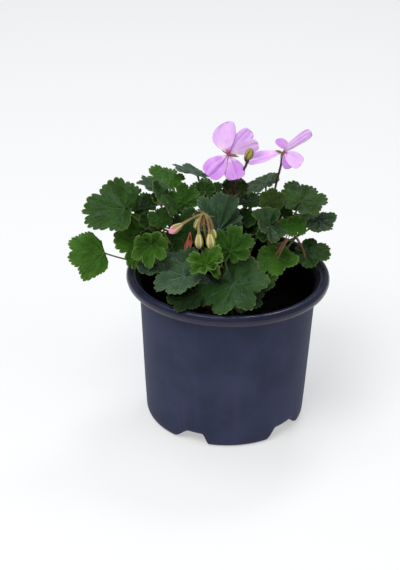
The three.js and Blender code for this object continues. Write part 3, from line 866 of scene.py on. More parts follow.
def crown_scales():
    """Dry stipules, bracts and an old leafless petiole that stand between the upper leaves."""
    hub = plans["leaf_right_front"].hub
    dry = bmesh.new()
    for offset, lean, outward, length, width in (
        ((9, 5, 16), (-0.52, -0.45, -0.73), (0, -1, 0), 19, 1.8),
        ((6, 4, 14), (-0.42, -0.55, -0.72), (-0.6, -1, 0), 13, 2.6),
    ):
        foot = hub + Vector(offset) * MM
        twig(dry, foot, 0.5 * MM)
        add_scale(dry, foot, Vector(lean), Vector(outward), length * MM, width * MM)
    hub = plans["leaf_right_low"].hub
    bare = [hub + Vector(p) * MM for p in ((-10, -6, 20), (-5, -8, 12), (-2, -7, 4), (-1, -4, -4))]
    twig(dry, bare[0], 0.9 * MM)
    rod(dry, bare, 15, 1.1 * MM, 0.8 * MM)
    finished("dry_stipules", dry, [plain["papery_stipule"]])
    red = bmesh.new()
    hub = plans["leaf_mid_dark"].hub
    for across, down, length in ((0, 0, 8), (2.2, -1.5, 6), (-1.5, -4, 6)):
        foot = hub + Vector((across - 1, -15, down + 2)) * MM
        twig(red, foot, 0.45 * MM)
        add_scale(red, foot, Vector((-0.25, -0.3, -0.92)), Vector((0.2, -1, 0)), length * MM, 3 * MM)
    finished("red_stipules", red, [plain["ruddy_stipule"]])
    green = bmesh.new()
    foot = stem_paths["stem_centre"][0][-1]
    for turn, length, width in ((200, 13, 4.5), (300, 11, 4), (20, 9, 3.5), (250, 15, 3.5)):
        outward = spoke(EAST, NORTH, math.radians(turn))
        lean = (Vector((0, 0, 1)) + outward * 0.25).normalized()
        add_scale(green, foot + outward * 1.6 * MM, lean, outward, (length + 4) * MM, width * MM)
    finished("crown_bracts", green, [plain["crown_bract"]])


crown_scales()


# young leaf: stem, share of the stem, hub from its foot in mm, heading, droop, roll, radius, kind
YOUNG = {
    "young_centre_right": ("stem_centre", 0.85, (12, -6, 4), 80, -45, 0, 9.5, "dark"),
    "young_centre_low": ("stem_centre", 0.75, (16, -4, 6), 60, -40, 10, 10, "dark"),
    "young_centre_top": ("stem_centre", 1.0, (-4, 4, 10), 120, -40, 0, 8, "dark"),
    "young_centre_tip": ("stem_centre", 1.0, (6, 2, 11), 60, -45, 0, 7, "olive"),
    "young_centre_left": ("stem_centre", 0.95, (-24, 8, 12), 100, -30, 0, 9, "mid"),
    "young_centre_front": ("stem_centre", 0.9, (-14, -10, 6), 110, -45, 0, 9, "dark"),
    "young_right_inner": ("stem_right", 0.8, (-11, 4, 18), 100, -40, 0, 10, "dark"),
    "young_right_top": ("stem_right", 0.95, (3, -8, 17), 90, -40, 0, 9, "mid"),
    "young_right_front": ("stem_right", 0.85, (-6, -12, 8), 85, -40, 0, 9, "dark"),
    "young_right_back": ("stem_right", 1.0, (8, 10, 10), 50, -15, 0, 9, "mid"),
    "young_left_top": ("stem_left", 0.9, (-18, -12, 12), 100, -35, -10, 9, "dark"),
    "young_left_far": ("stem_left", 0.75, (-38, 2, 14), 180, 15, -25, 11, "mid"),
    "young_left_inner": ("stem_left", 0.8, (-4, -16, 6), 90, -45, 0, 10, "dark"),
    "young_left_tip": ("stem_left", 1.0, (-6, 8, 12), 130, -20, 0, 8, "young"),
    "young_left_back": ("stem_left", 0.9, (2, 16, 8), 80, 0, 0, 10, "mid"),
    "young_front_curl": ("stem_front", 1.0, (-3, -27, 10), 20, -25, -10, 8, "young"),
    "young_front_tip": ("stem_front", 1.0, (3, 4, 12), 70, -40, 0, 7, "young"),
    "young_front_side": ("stem_front", 0.8, (12, 2, 8), 60, -40, 0, 9, "dark"),
}


YOUNG_SHAPE = {"fold": 0.24, "tooth": 0.12, "wave": 0.2, "cup": 0.2, "stalk": 0.75}


def young_leaves():
    """Small pleated leaves that crowd the upper parts of the stems."""
    for number, (name, row) in enumerate(YOUNG.items()):
        node, share, offset, heading, droop, roll, radius, kind = row
        foot = stem_paths[node][0][int(share * STEM_STEPS)]
        plan = small_leaf(foot, foot + Vector(offset) * MM, heading, droop, roll, radius * MM)
        leaf_piece(name, plan, kind, YOUNG_SEED + number, **YOUNG_SHAPE)


young_leaves()


# ---------------------------------------------------------------- pot
OUTLINE_RIM = 0.085
# each notch at the foot: its direction in degrees, and on its left and on its right side how far
# its roof and then its slope reach, in mm
NOTCHES = [
    (246, 4, 19, 8, 14),
    (318, 8, 18, 10, 24),
    (30, 7, 16, 7, 16),
    (102, 7, 16, 7, 16),
    (174, 7, 16, 7, 16),
]
NOTCH_HEIGHT = 9 * MM
DRAIN_DISTANCE = 0.0565
DRAIN_RADIUS = 3.6 * MM
# the two colours of the plastic, its streaks and its grit, then gloss and roughness
POT_FINISHES = {
    "pot_plastic": (((46, 52, 73), (57, 62, 88), (64, 63, 92), (94, 92, 110)), 0.08, 0.46),
    # the inside: the plastic's colours darkened nearly to black as painted shade
    "pot_inside_painted_shade": (((14, 15, 22), (18, 20, 28), (22, 22, 32), (40, 38, 40)), 0.15, 0.4),
    # the rim: the plastic's colours darkened as painted shade, with more gloss and pale grit
    "pot_rim_painted_shade": (((36, 40, 64), (44, 48, 76), (58, 58, 88), (150, 150, 166)), 0.36, 0.17),
}
INSIDE, RIM = 1, 2  # places in that list


def pot_finish(name, body, gloss, rough):
    """Moulded plastic: soft clouds, faint upright streaks, pale grit, and painted shade that darkens the
    rim.
    """
    f = Finish(name, Specular_IOR_Level=gloss)
    body = [rgb(*colour) for colour in body]
    cloud = f.noise(26.0, 3.0)
    stretch = f.add("ShaderNodeMapping", {"Vector": f.place(), "Scale": (110.0, 110.0, 5.0)})
    streak = f.ease(f.noise(1.0, 3.0, where=stretch.outputs[0]), 0.45, 0.75)
    tone = f.mix(f.ease(cloud, 0.3, 0.7), body[0], body[1])
    tone = f.mix(f.math("MULTIPLY", streak, 0.3), tone, body[2])
    grit = f.ease(f.noise(260.0, 4.0, 0.7), 0.66, 0.8)
    tone = f.mix(f.math("MULTIPLY", grit, 0.4), tone, body[3])
    height = f.add("ShaderNodeSeparateXYZ", {0: f.place()}).outputs[2]
    # painted shade: from just under the roll upward, the colour is mixed towards dark navy
    tone = f.mix(f.ease(height, 0.1205, 0.1235, 0.0, 0.45), tone, rgb(16, 17, 26))
    f.colour(tone)
    f.rough(f.math("MULTIPLY_ADD", cloud, 0.16, rough))
    f.normal(f.bump(f.noise(500.0, 3.0), 0.00016, 0.7, below=f.bump(f.noise(55.0, 2.0), 0.0012, 0.35)))
    return f.material


# radius and height of the wall in mm: under the base, up the outside, over the rolled rim and
# down the inside
POT_OUTLINE = [
    (0, 0.6), (20, 0.6), (40, 0.6), (44, 0.6), (47, 0.6), (50, 0.6), (52.5, 0.5), (55, 0.4),
    (57.5, 0.3), (60, 0.1), (62.4, 0), (64.2, 0.3), (65.6, 1.2), (66.6, 2.8), (67.3, 5), (67.7, 9),
    (68.0, 14), (68.4, 20), (69.0, 30), (69.9, 46), (71.1, 68), (72.3, 90), (73.4, 110),
    (73.8, 118.2), (74.1, 120.4), (75.2, 121.6), (77.4, 122.2), (80.4, 122.4), (82.8, 123),
    (84.3, 124.6), (85, 127), (84.8, 129.4), (83.6, 131.2), (81.6, 132), (79.4, 131.8),
    (77.6, 130.8), (76.6, 129.2), (75.9, 127.9), (75, 127.1), (73.8, 126.2), (72.8, 124),
    (71.9, 116), (70.8, 96), (69.4, 70), (68.0, 46), (67.0, 30), (66.2, 18), (65.6, 10), (64.9, 6),
    (63.4, 3.6), (60, 2.6), (57.5, 2.6), (55, 2.6), (52.5, 2.6), (50, 2.6), (47, 2.6), (44, 2.6),
    (40, 2.6), (20, 2.6), (0, 2.6),
]


def pot_piece():
    """A turned wall with five arched notches at its foot and a drain hole in each notch's roof."""
    low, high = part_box("pot")
    scale = (high.x - low.x) / 2 / OUTLINE_RIM
    bm = bmesh.new()
    made = [bm.verts.new((r * MM * scale, 0, z * MM)) for r, z in POT_OUTLINE]
    edges = [bm.edges.new(pair) for pair in zip(made, made[1:])]
    bmesh.ops.spin(
        bm,
        geom=made + edges,
        cent=(0, 0, 0),
        axis=(0, 0, 1),
        angle=TURN,
        steps=300,
        use_merge=True,
        use_duplicate=False,
    )
    bmesh.ops.remove_doubles(bm, verts=bm.verts, dist=1e-5)
    bmesh.ops.recalc_face_normals(bm, faces=bm.faces)
    # the notches lift the foot of the wall, and the base inside it
    for vert in bm.verts:
        out = math.hypot(vert.co.x, vert.co.y)
        if out < 1e-6:
            continue
        arch = 0.0
        for heading, left_roof, left_end, right_roof, right_end in NOTCHES:
            aside = math.degrees(math.atan2(vert.co.y, vert.co.x)) - heading
            aside = math.radians((aside + 180) % 360 - 180) * out
            if aside > 0:
                arch = max(arch, 1 - eased(aside, right_roof * MM, right_end * MM))
            else:
                arch = max(arch, 1 - eased(-aside, left_roof * MM, left_end * MM))
        depth = eased(out, 43 * MM, 51 * MM)
        fade = 1 - eased(vert.co.z, 2 * MM, 30 * MM)
        vert.co.z += NOTCH_HEIGHT * arch * depth * fade
    for notch in NOTCHES:
        drain = spoke(EAST, NORTH, math.radians(notch[0])).xy * DRAIN_DISTANCE
        centres = [(f, f.calc_center_median()) for f in bm.faces]
        hole = [f for f, c in centres if c.z < 0.02 and (c.xy - drain).length < DRAIN_RADIUS]
        bmesh.ops.delete(bm, geom=hole, context="FACES")
        open_edges = [e for e in bm.edges if e.is_boundary]
        bmesh.ops.bridge_loops(bm, edges=open_edges)
    # inward faces take the inside finish and the top of the rim takes the rim finish, both darkened as
    # painted shade
    for face in bm.faces:
        centre = face.calc_center_median()
        if face.normal.xy.dot(centre.xy) < 0 and 2 * MM < centre.z < 128.5 * MM:
            face.material_index = INSIDE
        elif centre.z > 124 * MM:
            face.material_index = RIM
    shades = [pot_finish(name, *row) for name, row in POT_FINISHES.items()]
    finished("pot_shell", bm, shades, ["pot"])


pot_piece()


# ---------------------------------------------------------------- soil
def soil_finish():
    f = Finish("potting_soil", Roughness=0.95, Specular_IOR_Level=0.15)
    grain = f.noise(420.0, 5.0, 0.7)
    f.colour(f.mix(f.ease(grain, 0.4, 0.8), rgb(8, 7, 7), rgb(30, 23, 19)))
    f.normal(f.bump(grain, 0.002, 1.0))
    return f.material


soil_material = soil_finish()


def soil_height(x, y, top):
    """Lumpy ground that is a little higher round the stems."""
    lump = noise.fractal(Vector((x, y, 0)) * 90, 0.7, 2.2, 5)
    mound = 3 * MM * math.exp(-((x * x + y * y) / 0.0012))
    return top - 4.5 * MM + mound + 2.4 * MM * lump


SOIL_DEPTH = 0.034
CRUMBS = 240


def soil_piece():
    """A bed of soil with crumbs strewn on it."""
    low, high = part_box("soil")
    wide = (high.x - low.x) / 2
    bm = flat_disc(120, 36)
    for vert in bm.verts:
        x, y = vert.co.x * wide, vert.co.y * wide
        vert.co = (x, y, soil_height(x, y, high.z))
    edges = [e for e in bm.edges if e.is_boundary]
    grown = bmesh.ops.extrude_edge_only(bm, edges=edges)["geom"]
    for vert in [g for g in grown if isinstance(g, bmesh.types.BMVert)]:
        vert.co = (vert.co.x * 0.975, vert.co.y * 0.975, high.z - SOIL_DEPTH)
    bottom = [e for e in bm.edges if e.is_boundary]
    bmesh.ops.contextual_create(bm, geom=bottom)
    bmesh.ops.recalc_face_normals(bm, faces=bm.faces)
    finished("soil_bed", bm, [soil_material], ["soil"])
    rnd = random.Random(5)
    crumbs = bmesh.new()
    for _ in range(CRUMBS):
        angle, out = rnd.uniform(0, TURN), wide * 0.95 * math.sqrt(rnd.random())
        x, y = out * math.cos(angle), out * math.sin(angle)
        size = rnd.uniform(0.6, 2.2) * MM
        spot = Vector((x, y, soil_height(x, y, high.z) + size * 0.3))
        place = Matrix.Translation(spot) @ Matrix.Rotation(rnd.uniform(0, TURN), 4, "Z")
        made = bmesh.ops.create_icosphere(crumbs, subdivisions=1, radius=size, matrix=place)
        for vert in made["verts"]:
            vert.co = spot + (vert.co - spot) * rnd.uniform(0.7, 1.25)
    finished("soil_crumbs", crumbs, [soil_material])


soil_piece()


# ---------------------------------------------------------------- flowers
def petal_finish(name, claw, body, shade, vein, rim):
    """Petal colour, pale at the claw, with fine veins that fan out and a darker rim."""
    f = Finish(name, Roughness=0.6, Specular_IOR_Level=0.15)
    uv = f.add("ShaderNodeUVMap", uv_map="sheet").outputs[0]
    split = f.add("ShaderNodeSeparateXYZ", {0: uv})
    along, across = split.outputs[0], split.outputs[1]
    spread = f.math("DIVIDE", f.math("SUBTRACT", across, 0.5), f.math("ADD", along, 0.25))
    veins = f.math("FRACT", f.math("MULTIPLY", spread, 9.0))
    veins = f.ease(f.math("ABSOLUTE", f.math("SUBTRACT", veins, 0.5)), 0.0, 0.16, 1.0, 0.0)
    veins = f.math("MULTIPLY", veins, f.ease(along, 0.1, 0.9, 0.4, 0.1))
    tone = f.mix(f.ease(along, 0.05, 0.55), claw, body)
    tone = f.mix(f.ease(f.noise(110.0, 2.0), 0.3, 0.7), tone, shade)
    tone = f.mix(f.math("MULTIPLY", veins, 1.3, clamp=True), tone, vein)
    tone = f.mix(f.math("MULTIPLY", f.ease(along, 0.93, 1.0), 0.5), tone, rim)
    f.colour(tone)
    f.normal(f.bump(f.math("SUBTRACT", 1.0, veins), 0.0003, 0.5))
    return f.material


PETAL_CLAW, PETAL_VEIN, PETAL_RIM = rgb(252, 232, 246), rgb(206, 128, 220), rgb(176, 112, 184)
petal_materials = [
    petal_finish(name, PETAL_CLAW, body, shade, PETAL_VEIN, PETAL_RIM)
    for name, body, shade in (
        ("petal_pale", rgb(242, 200, 254), rgb(232, 184, 250)),
        ("petal_deep", rgb(228, 172, 246), rgb(216, 152, 238)),
    )
]
PETAL_SIDES = 10  # of the frame's petals
PETAL_STEPS = 40
PETAL_THICKNESS = 0.3 * MM
PETAL_WAVE = 0.06
PETAL_MARGIN = (0.97, 0.5)
FACING = Vector((0, -math.cos(math.radians(27)), math.sin(math.radians(27))))


class PetalFrame:
    """A frame petal's line from claw to tip, the side direction along it, and its widest half."""

    def __init__(self, node, heart):
        bm = merged_frame_mesh(node)
        rings = rings_between_poles(bm, PETAL_SIDES)
        if (rings[0][0].co - heart).length > (rings[-1][0].co - heart).length:
            rings.reverse()
        self.line = [middle(r).copy() for r in rings]
        self.side, half = [], []
        for ring in rings[1:-1]:
            centre = middle(ring)
            far = max(ring, key=lambda v: (v.co - centre).length)
            near = max(ring, key=lambda v: (v.co - far.co).length)
            arm = far.co - near.co
            if self.side and arm.dot(self.side[-1]) < 0:
                arm.negate()
            self.side.append(arm.normalized())
            half.append(arm.length / 2)
        self.side = [self.side[0]] + self.side + [self.side[-1]]
        self.width = max(half)
        bm.free()


def petal_piece(
    node,
    heart,
    seed,
    wide=1.1,  # width against the frame's petal
    fold=0.12,  # rise of both edges
    notch=0.0,  # depth of the notch at the tip
    roll=0.0,  # how far the tip rolls up
    forward=0.0,  # shift to the viewer, mm
    crease=0.0,  # depth of the two creases along the petal
    skew=0.0,  # lean of the tip to the right
    taper=0.0,  # how far the left edge draws in at the tip
    waist=0.0,  # how far the middle draws in
    aside=0.0,  # bow to the right, mm
    claw=0.5,  # width near the heart
    shade=0,  # place in the list of petal materials
):
    """A petal on the line of a frame petal, from the flower's heart to its tip."""
    cad = PetalFrame(node, heart)
    rnd = random.Random(seed)
    offset = Vector((rnd.uniform(0, 40), rnd.uniform(0, 40), 0))
    line = [cad.line[0].lerp(heart, 0.75)] + cad.line[1:]
    path = smooth_path(line, PETAL_STEPS + 1)
    sides = smooth_path(cad.side, PETAL_STEPS + 1)
    length = sum((b - a).length for a, b in zip(path, path[1:]))
    bm = flat_disc(72, 12)
    layer = keep_flat_map(bm, "sheet")
    for vert in bm.verts:
        x, y = vert.co.x, vert.co.y
        along = min(max(0.5 + 0.5 * x, 0.0), 1.0)
        ring = math.sqrt(max(1 - x * x, 1e-9))
        across = max(-1.0, min(1.0, y / ring)) if ring > 1e-3 else 0.0
        outline = math.sin(math.pi * along**1.25) ** 0.5 if 0 < along < 1 else 0.0
        half = cad.width * wide * outline * (claw + (1 - claw) * min(1.0, along / 0.5))
        edge = max(0.0, 1 - abs(across) * 1.8)
        half *= 1 - waist * math.exp(-(((along - 0.45) / 0.2) ** 2))
        reach = along - notch * edge * eased(along, 0.7, 1.0)
        place = reach * PETAL_STEPS
        k = min(int(place), PETAL_STEPS - 1)
        spot = path[k].lerp(path[k + 1], place - k)
        direction = (path[min(k + 2, PETAL_STEPS)] - path[max(k - 1, 0)]).normalized()
        side = sides[k].lerp(sides[k + 1], place - k)
        side = (side - side.project(direction)).normalized()
        normal = direction.cross(side)
        rise = fold * cad.width * (abs(across) ** 1.3 - 0.3) * outline
        wave = PETAL_WAVE * length
        rise += wave * along**1.5 * noise.noise(offset + Vector((along * 2, across * 1.6, 0)))
        rise += 0.35 * wave * along**3 * math.sin(across * 5 + offset.x)
        rise += roll * length * along**3 * outline
        depth = crease * cad.width * outline
        rise -= depth * math.exp(-(((across - 0.25) / 0.13) ** 2)) * (1 - 0.5 * along)
        rise -= 0.6 * depth * math.exp(-(((across + 0.4) / 0.11) ** 2)) * along
        lean = math.copysign(skew, side.x * skew) * cad.width * along * (along - 0.5)
        half *= 1 - taper * max(0.0, -across * math.copysign(1, side.x)) * along**3
        vert.co = spot + side * (half * across + lean) + normal * rise + FACING * forward * MM
        vert.co.x += aside * (math.sin(math.pi * along**0.6) + 0.3 * along) * MM
    set_map(thicken(bm, PETAL_THICKNESS, 0), layer, PETAL_MARGIN)
    finished(node + "_sheet", bm, [petal_materials[shade]], [node])


HAIR_FOOT = 0.09 * MM
HAIR_TIP = 0.02 * MM


def hairs(bm, path, radii, count, length, seed):
    """Short soft hairs that stand out all round a stalk."""
    rnd = random.Random(seed)
    for _ in range(count):
        place = rnd.uniform(0.02, 0.98) * (len(path) - 1)
        k = min(int(place), len(path) - 2)
        spot = path[k].lerp(path[k + 1], place - k)
        direction = (path[k + 1] - path[k]).normalized()
        across, other = across_of(direction, Vector((0.2, 1, 0.1)))
        angle = rnd.uniform(0, TURN)
        outward = (spoke(across, other, angle) + direction * rnd.uniform(-0.2, 0.5)).normalized()
        size = length * rnd.uniform(0.6, 1.2)
        turned = outward.to_track_quat("Z", "Y").to_matrix().to_4x4()
        bmesh.ops.create_cone(
            bm,
            cap_ends=True,
            segments=3,
            radius1=HAIR_FOOT,
            radius2=HAIR_TIP,
            depth=size,
            matrix=Matrix.Translation(spot + outward * (radii[k] * 0.8 + size / 2)) @ turned,
        )


STALK_SIDES = 8  # of the frame's stalks
STALK_STEPS = 30


def stalk_path(node, steps):
    line = rod_line(node, STALK_SIDES)
    path = smooth_path([p for p, _ in line], steps + 1)
    sizes = [r for _, r in line]
    return path, [read_at(sizes, i / steps) for i in range(steps + 1)]


STIGMAS, STAMENS = 5, 7
STAMEN = 0.22 * MM


def flower(prefix, sepals, turned, size):
    """A flower's stalk, calyx and column. Gives its heart, where the petals meet."""
    stalk = prefix + "_stalk"
    path, radii = stalk_path(stalk, STALK_STEPS)
    slim = [min(r, (1 + 0.9 * eased(i / STALK_STEPS, 0.75, 0.97)) * MM) for i, r in enumerate(radii)]
    bm = bmesh.new()
    tube(bm, path, slim, 14)
    hairs(bm, path, slim, 170, 1.3 * MM, 11)
    finished(stalk + "_skin", bm, [plain["flower_stalk"]], [stalk])
    heart = path[-1] + FACING * 1.6 * MM
    up = FACING.cross(EAST)
    green = bmesh.new()
    for degrees, length, lean in sepals:
        outward = spoke(EAST, up, math.radians(degrees))
        direction = (outward + FACING * lean).normalized()
        bend = (FACING * -1 if lean > 0 else outward) * 0.6
        add_scale(green, heart + FACING * 0.4 * MM, direction, bend, length * MM, 2.4 * MM)
    finished(prefix + "_calyx", green, [plain["sepal"]])
    centre = bmesh.new()
    axis = (FACING + turned).normalized()
    across, other = across_of(axis, Vector((0.2, 0.1, 1)))
    unit = size * MM
    top = heart + axis * 6.5 * unit
    rod(centre, [heart, heart + axis * 3 * unit, top], 7, 0.75 * unit, 0.42 * unit)
    for k in range(STIGMAS):
        outward = spoke(across, other, TURN * k / STIGMAS + 0.4)
        bend = top + axis * 1.2 * unit + outward * 1.1 * unit
        tip = top + axis * 0.9 * unit + outward * 2.8 * unit
        rod(centre, [top, bend, tip], 6, 0.32 * unit, 0.2 * unit, 6)
    ends = []
    for k in range(STAMENS):
        outward = spoke(across, other, TURN * k / STAMENS)
        tip = heart + axis * (3.5 + (k % 3)) * unit + outward * (2.2 + 0.8 * (k % 2)) * unit
        rod(centre, [heart, heart + axis * 2 * unit + outward * unit, tip], 6, STAMEN, STAMEN, 6)
        ends.append(tip)
    finished(prefix + "_column", centre, [plain["flower_column"]])
    dust = bmesh.new()
    for k, tip in enumerate(ends):
        place = Matrix.Translation(tip) @ Matrix.Rotation(k, 4, "X") @ Matrix.Diagonal((1.6, 0.8, 0.8, 1))
        bmesh.ops.create_icosphere(dust, subdivisions=1, radius=0.42 * unit, matrix=place)
    finished(prefix + "_anthers", dust, [plain["anther"]])
    return heart


PETAL_SHAPES = {
    "one_petal_upper_left": {"wide": 1.4, "fold": 0.08, "crease": 0.06, "skew": 1.3, "taper": 0.6},
    "one_petal_upper_right": {"wide": 1.4, "fold": 0.06, "forward": -1.2, "crease": 0.15, "notch": 0.03},
    "one_petal_right": {"wide": 1.45, "fold": 0.04, "forward": 0.8, "crease": 0.1},
    "one_petal_lower_left": {"wide": 1.22, "fold": -0.2, "forward": 0.5, "crease": 0.5, "shade": 1},
    "one_petal_lower_right": {"wide": 1.22, "fold": -0.2, "forward": -0.6, "crease": 0.35, "shade": 1},
    "two_petal_upper_left": {"wide": 1.1, "aside": 5.0, "claw": 0.7, "shade": 1},
    "two_petal_upper_right": (
        {"wide": 1.3, "fold": 0.16, "roll": 0.12, "crease": 0.2, "waist": 0.2, "claw": 0.9}
    ),
    "two_petal_right": {"wide": 1.15, "claw": 0.9, "forward": 0.5, "crease": 0.15, "notch": 0.04},
    "two_petal_lower": {"wide": 1.1, "forward": -0.6, "crease": 0.2, "shade": 1},
    "two_petal_left": {"fold": 0.35, "crease": 0.35},
}
# sepals: direction in degrees, length in mm, lean forward; then the column's lean and size
SEPALS = {
    "one": (
        [(143, 11, 0.45), (6, 9.5, 0.5), (-14, 9.5, 0.45), (60, 4, 0.9), (250, 6, -0.3)],
        Vector((0, 0, 0.5)),
        1.0,
    ),
    "two": (
        [(158, 7, 0.3), (60, 4, 0.3), (20, 5, -0.4), (250, 4, -0.4), (310, 4, -0.3)],
        Vector((0.8, 0, 0.3)),
        0.6,
    ),
}
PETAL_SEED = 50
for which, (sepals, turned, size) in SEPALS.items():
    heart = flower("flower_" + which, sepals, turned, size)
    petals = sorted(key for key in PETAL_SHAPES if key.startswith(which))
    for number, petal in enumerate(petals):
        petal_piece("flower_" + petal, heart, PETAL_SEED + number, **PETAL_SHAPES[petal])


# ---------------------------------------------------------------- buds
def bud_finish(name, green, edge, pink, start, foot):
    """Sepals with pale edges, a dark foot, and the petals' pink from a share of the length on."""
    f = Finish(name, Roughness=0.5, Specular_IOR_Level=0.35)
    along, ridge = f.mark("along"), f.mark("ridge")
    dull = blended(green, (0.02, 0.04, 0.0, 1), 0.3)
    tone = f.mix(f.ease(f.noise(260.0, 3.0), 0.3, 0.7), green, dull)
    tone = f.mix(f.ease(ridge, -0.2, -0.95), tone, edge)
    tone = f.mix(f.ease(f.math("MULTIPLY_ADD", ridge, -0.12, along), start, start + 0.22), tone, pink)
    tone = f.mix(f.ease(along, 0.4 * foot, foot + 0.01, 1.0 if foot else 0.0, 0.0), tone, rgb(74, 44, 38))
    f.colour(tone)
    f.normal(f.bump(f.noise(700.0, 2.0), 0.00015, 0.5))
    return f.material


bud_materials = {
    name: bud_finish("bud_" + name, rgb(*green), rgb(*edge), rgb(*pink), start, foot)
    for name, green, edge, pink, start, foot in (
        ("green", (168, 176, 74), (240, 196, 196), (236, 160, 186), 0.88, 0.0),
        ("pink", (150, 152, 84), (226, 176, 160), (240, 150, 178), 0.4, 0.0),
        ("upright_green", (166, 160, 76), (104, 80, 50), (120, 90, 66), 0.9, 0.42),
    )
}
# shares of a bud's length, and its fatness at each
BUD_PLACES = (0, 0.1, 0.24, 0.42, 0.58, 0.74, 0.87, 0.95, 1)
BUD_FATNESS = (0.38, 0.55, 0.76, 0.94, 1, 0.9, 0.62, 0.32, 0.06)
BUD_STEPS = 24


def bud_ridges(share, angle):
    return 1 + 0.07 * abs(math.cos(2.5 * angle)) * math.sin(math.pi * share)


def bud(name, base, tip, radius, material):
    """A fat spindle with five ridges, where its sepals meet."""
    bm = bmesh.new()
    marks = (bm.verts.layers.float.new("along"), bm.verts.layers.float.new("ridge"))
    path = smooth_path([base.lerp(tip, share) for share in BUD_PLACES], BUD_STEPS + 1)
    radii = [radius * read_at(BUD_FATNESS, i / BUD_STEPS) for i in range(BUD_STEPS + 1)]
    tube(bm, path, radii, 30, 0, bud_ridges, marks)
    finished(name, bm, [material])


def in_box(node, x, y, z):
    """A point given as shares of a frame node's box."""
    low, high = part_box(node)
    size = high - low
    return Vector((low.x + size.x * x, low.y + size.y * y, low.z + size.z * z))


# bend and tip of each hanging bud as shares of the umbel's box, fatness in mm, length, finish
HANGING = [
    ((0.42, 0.18, 0.93), (0.01, 0.1, 0.71), 3.4, 13, "pink"),
    ((0.53, 0.14, 0.93), (0.55, 0.05, 0.48), 3.4, 13, "green"),
    ((0.69, 0.1, 0.95), (0.77, 0.03, 0.48), 3.7, 14, "green"),
    ((0.73, 0.18, 0.93), (0.82, 0.14, 0.6), 2.6, 10, "green"),
    ((0.58, 0.33, 0.95), (0.47, 0.33, 0.68), 2.6, 10, "green"),
]


# the umbel's own stem, from its foot up, as shares of the box
UMBEL_STEM = ((0.97, 0.98, 0.02), (0.75, 0.37, 0.35), (0.64, 0.22, 0.71))
UMBEL_BRACTS = 22


def umbel():
    """Five hanging buds on thin hairy stalks, with a ring of bracts where the stalks part."""
    apex = in_box("buds_drooping", 0.62, 0.26, 0.96)
    course = [in_box("buds_drooping", *spot) for spot in UMBEL_STEM]
    stem = smooth_path([*course, apex], 25)
    bm = bmesh.new()
    radii = tapered(1.2 * MM, 1.0 * MM, 25)
    tube(bm, stem, radii, 10)
    hairs(bm, stem, radii, 90, 1.1 * MM, 3)
    for number, (bend, tip, fat, length, kind) in enumerate(HANGING):
        bend, tip = in_box("buds_drooping", *bend), in_box("buds_drooping", *tip)
        path = smooth_path([apex, apex.lerp(bend, 0.6), bend.lerp(tip, 0.25), tip], 31)
        direction = (tip - path[20]).normalized()
        base = tip - direction * length * MM
        run = [p for p in path if (p - tip).length > length * MM * 0.95] + [base + direction * 0.5 * MM]
        sizes = tapered(0.75 * MM, 1.15 * MM, len(run))
        sizes[-2:] = [1.4 * MM, 1.5 * MM]
        tube(bm, run, sizes, 8)
        hairs(bm, run, sizes, 70, 0.9 * MM, 20 + number)
        bud("bud_hanging_" + str(number + 1), base, tip, fat * MM, bud_materials[kind])
    rnd = random.Random(9)
    bracts = bmesh.new()
    for k in range(UMBEL_BRACTS):
        flat = spoke(EAST, NORTH, TURN * k * 0.38) * rnd.uniform(0.25, 1.0)
        outward = Vector((flat.x, flat.y, rnd.uniform(-1.1, 0.3))).normalized()
        foot = apex + Vector((0, 0, rnd.uniform(-3, 0.5) * MM))
        add_scale(bracts, foot, outward, Vector((0, 0, -0.6)), rnd.uniform(6, 10) * MM, 1.8 * MM)
    finished("umbel_bracts", bracts, [plain["umbel_bract"]])
    finished("umbel_stalks", bm, [plain["pedicel"]], ["buds_drooping"])


umbel()
UPRIGHT_STEPS = 40


def upright_bud():
    """A bud that stands on a hairy stalk, with hairs on its sepals."""
    path, _ = stalk_path("bud_upright", UPRIGHT_STEPS)
    top = path[-1]
    direction = ((top - path[30]).normalized() + Vector((0.1, 0, 0))).normalized()
    base = top - direction * 12.5 * MM
    run = [p for p in path if (p - top).length > 12 * MM] + [base + direction * 1.5 * MM]
    sizes = [0.95 * MM] * len(run)
    sizes[-4:] = [1.1 * MM, 1.4 * MM, 1.7 * MM, 1.8 * MM]
    bm = bmesh.new()
    tube(bm, run, sizes, 10)
    hairs(bm, run, sizes, 120, 1.1 * MM, 31)
    finished("bud_upright_stalk", bm, [plain["flower_stalk"]], ["bud_upright"])
    bud("bud_upright_body", base, top + direction * 0.5 * MM, 3.5 * MM, bud_materials["upright_green"])
    down = bmesh.new()
    line = [base.lerp(top, i / 12) for i in range(13)]
    hairs(down, line, [2.9 * MM] * 13, 90, 1.0 * MM, 33)
    finished("bud_upright_hairs", down, [plain["flower_stalk"]])


upright_bud()


# ---------------------------------------------------------------- light and floor
FLOOR_GREY = (0.52, 0.52, 0.52, 1)
FLOOR_GLOW = (0.99, 1, 1, 1)
FLOOR_GLOW_STRENGTH = 0.45
FLOOR_DROP = 0.0002
SKY_LIGHT = 0.26  # strength of the sky as a light
SKY_SEEN = 0.7  # added where the sky is seen
AIM = Vector((0, 0, 0.15))
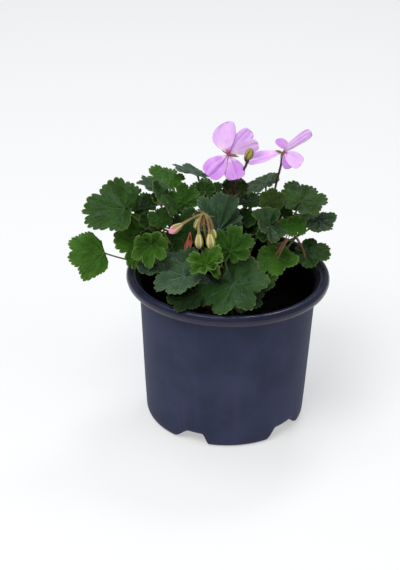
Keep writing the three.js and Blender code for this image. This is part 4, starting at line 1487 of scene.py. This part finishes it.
# place, size, power and colour of each light, and whether it shows in the gloss of the leaves:
# the two soft front lights don't, and the two upper ones do
LIGHTS = {
    "key_light": ((-0.7, -1.1, 2.0), 1.3, 32, (1, 1, 1), False),
    "fill_light": ((1.5, -0.9, 1.2), 1.5, 6, (1, 1, 1), False),
    "top_light": ((-0.5, 0.25, 1.9), 0.9, 7, (0.86, 0.93, 1), True),
    "back_light": ((0.3, 1.1, 1.8), 0.5, 9, (0.88, 0.94, 1), True),
}


def add_floor():
    bm = bmesh.new()
    bmesh.ops.create_grid(bm, x_segments=1, y_segments=1, size=6)
    mesh = bpy.data.meshes.new("floor")
    bm.to_mesh(mesh)
    bm.free()
    f = Finish(
        "pale_floor",
        Roughness=0.9,
        Specular_IOR_Level=0.1,
        Base_Color=FLOOR_GREY,
        Emission_Color=FLOOR_GLOW,
        Emission_Strength=FLOOR_GLOW_STRENGTH,
    )
    mesh.materials.append(f.material)
    floor = bpy.data.objects.new("floor", mesh)
    floor.location.z = cad_low.z - FLOOR_DROP
    scene.collection.objects.link(floor)


def add_sky():
    """A sky that is white to the eye and dimmer as a light."""
    world = bpy.data.worlds.new("studio")
    world.use_nodes = True
    tree = world.node_tree
    sky = tree.nodes["Background"]
    sky.inputs[0].default_value = (1, 1, 1, 1)
    sight = tree.nodes.new("ShaderNodeLightPath")
    level = tree.nodes.new("ShaderNodeMath")
    level.operation = "MULTIPLY_ADD"
    level.inputs[1].default_value = SKY_SEEN
    level.inputs[2].default_value = SKY_LIGHT
    tree.links.new(sight.outputs["Is Camera Ray"], level.inputs[0])
    tree.links.new(level.outputs[0], sky.inputs[1])
    scene.world = world
    scene.view_settings.view_transform = "Standard"


def add_lights():
    for name, (spot, size, power, colour, glossy) in LIGHTS.items():
        data = bpy.data.lights.new(name, "AREA")
        data.size = size
        data.energy = power
        data.color = colour
        light = bpy.data.objects.new(name, data)
        light.location = spot
        light.rotation_euler = (AIM - Vector(spot)).to_track_quat("-Z", "Y").to_euler()
        light.visible_glossy = glossy
        scene.collection.objects.link(light)


add_floor()
add_sky()
add_lights()
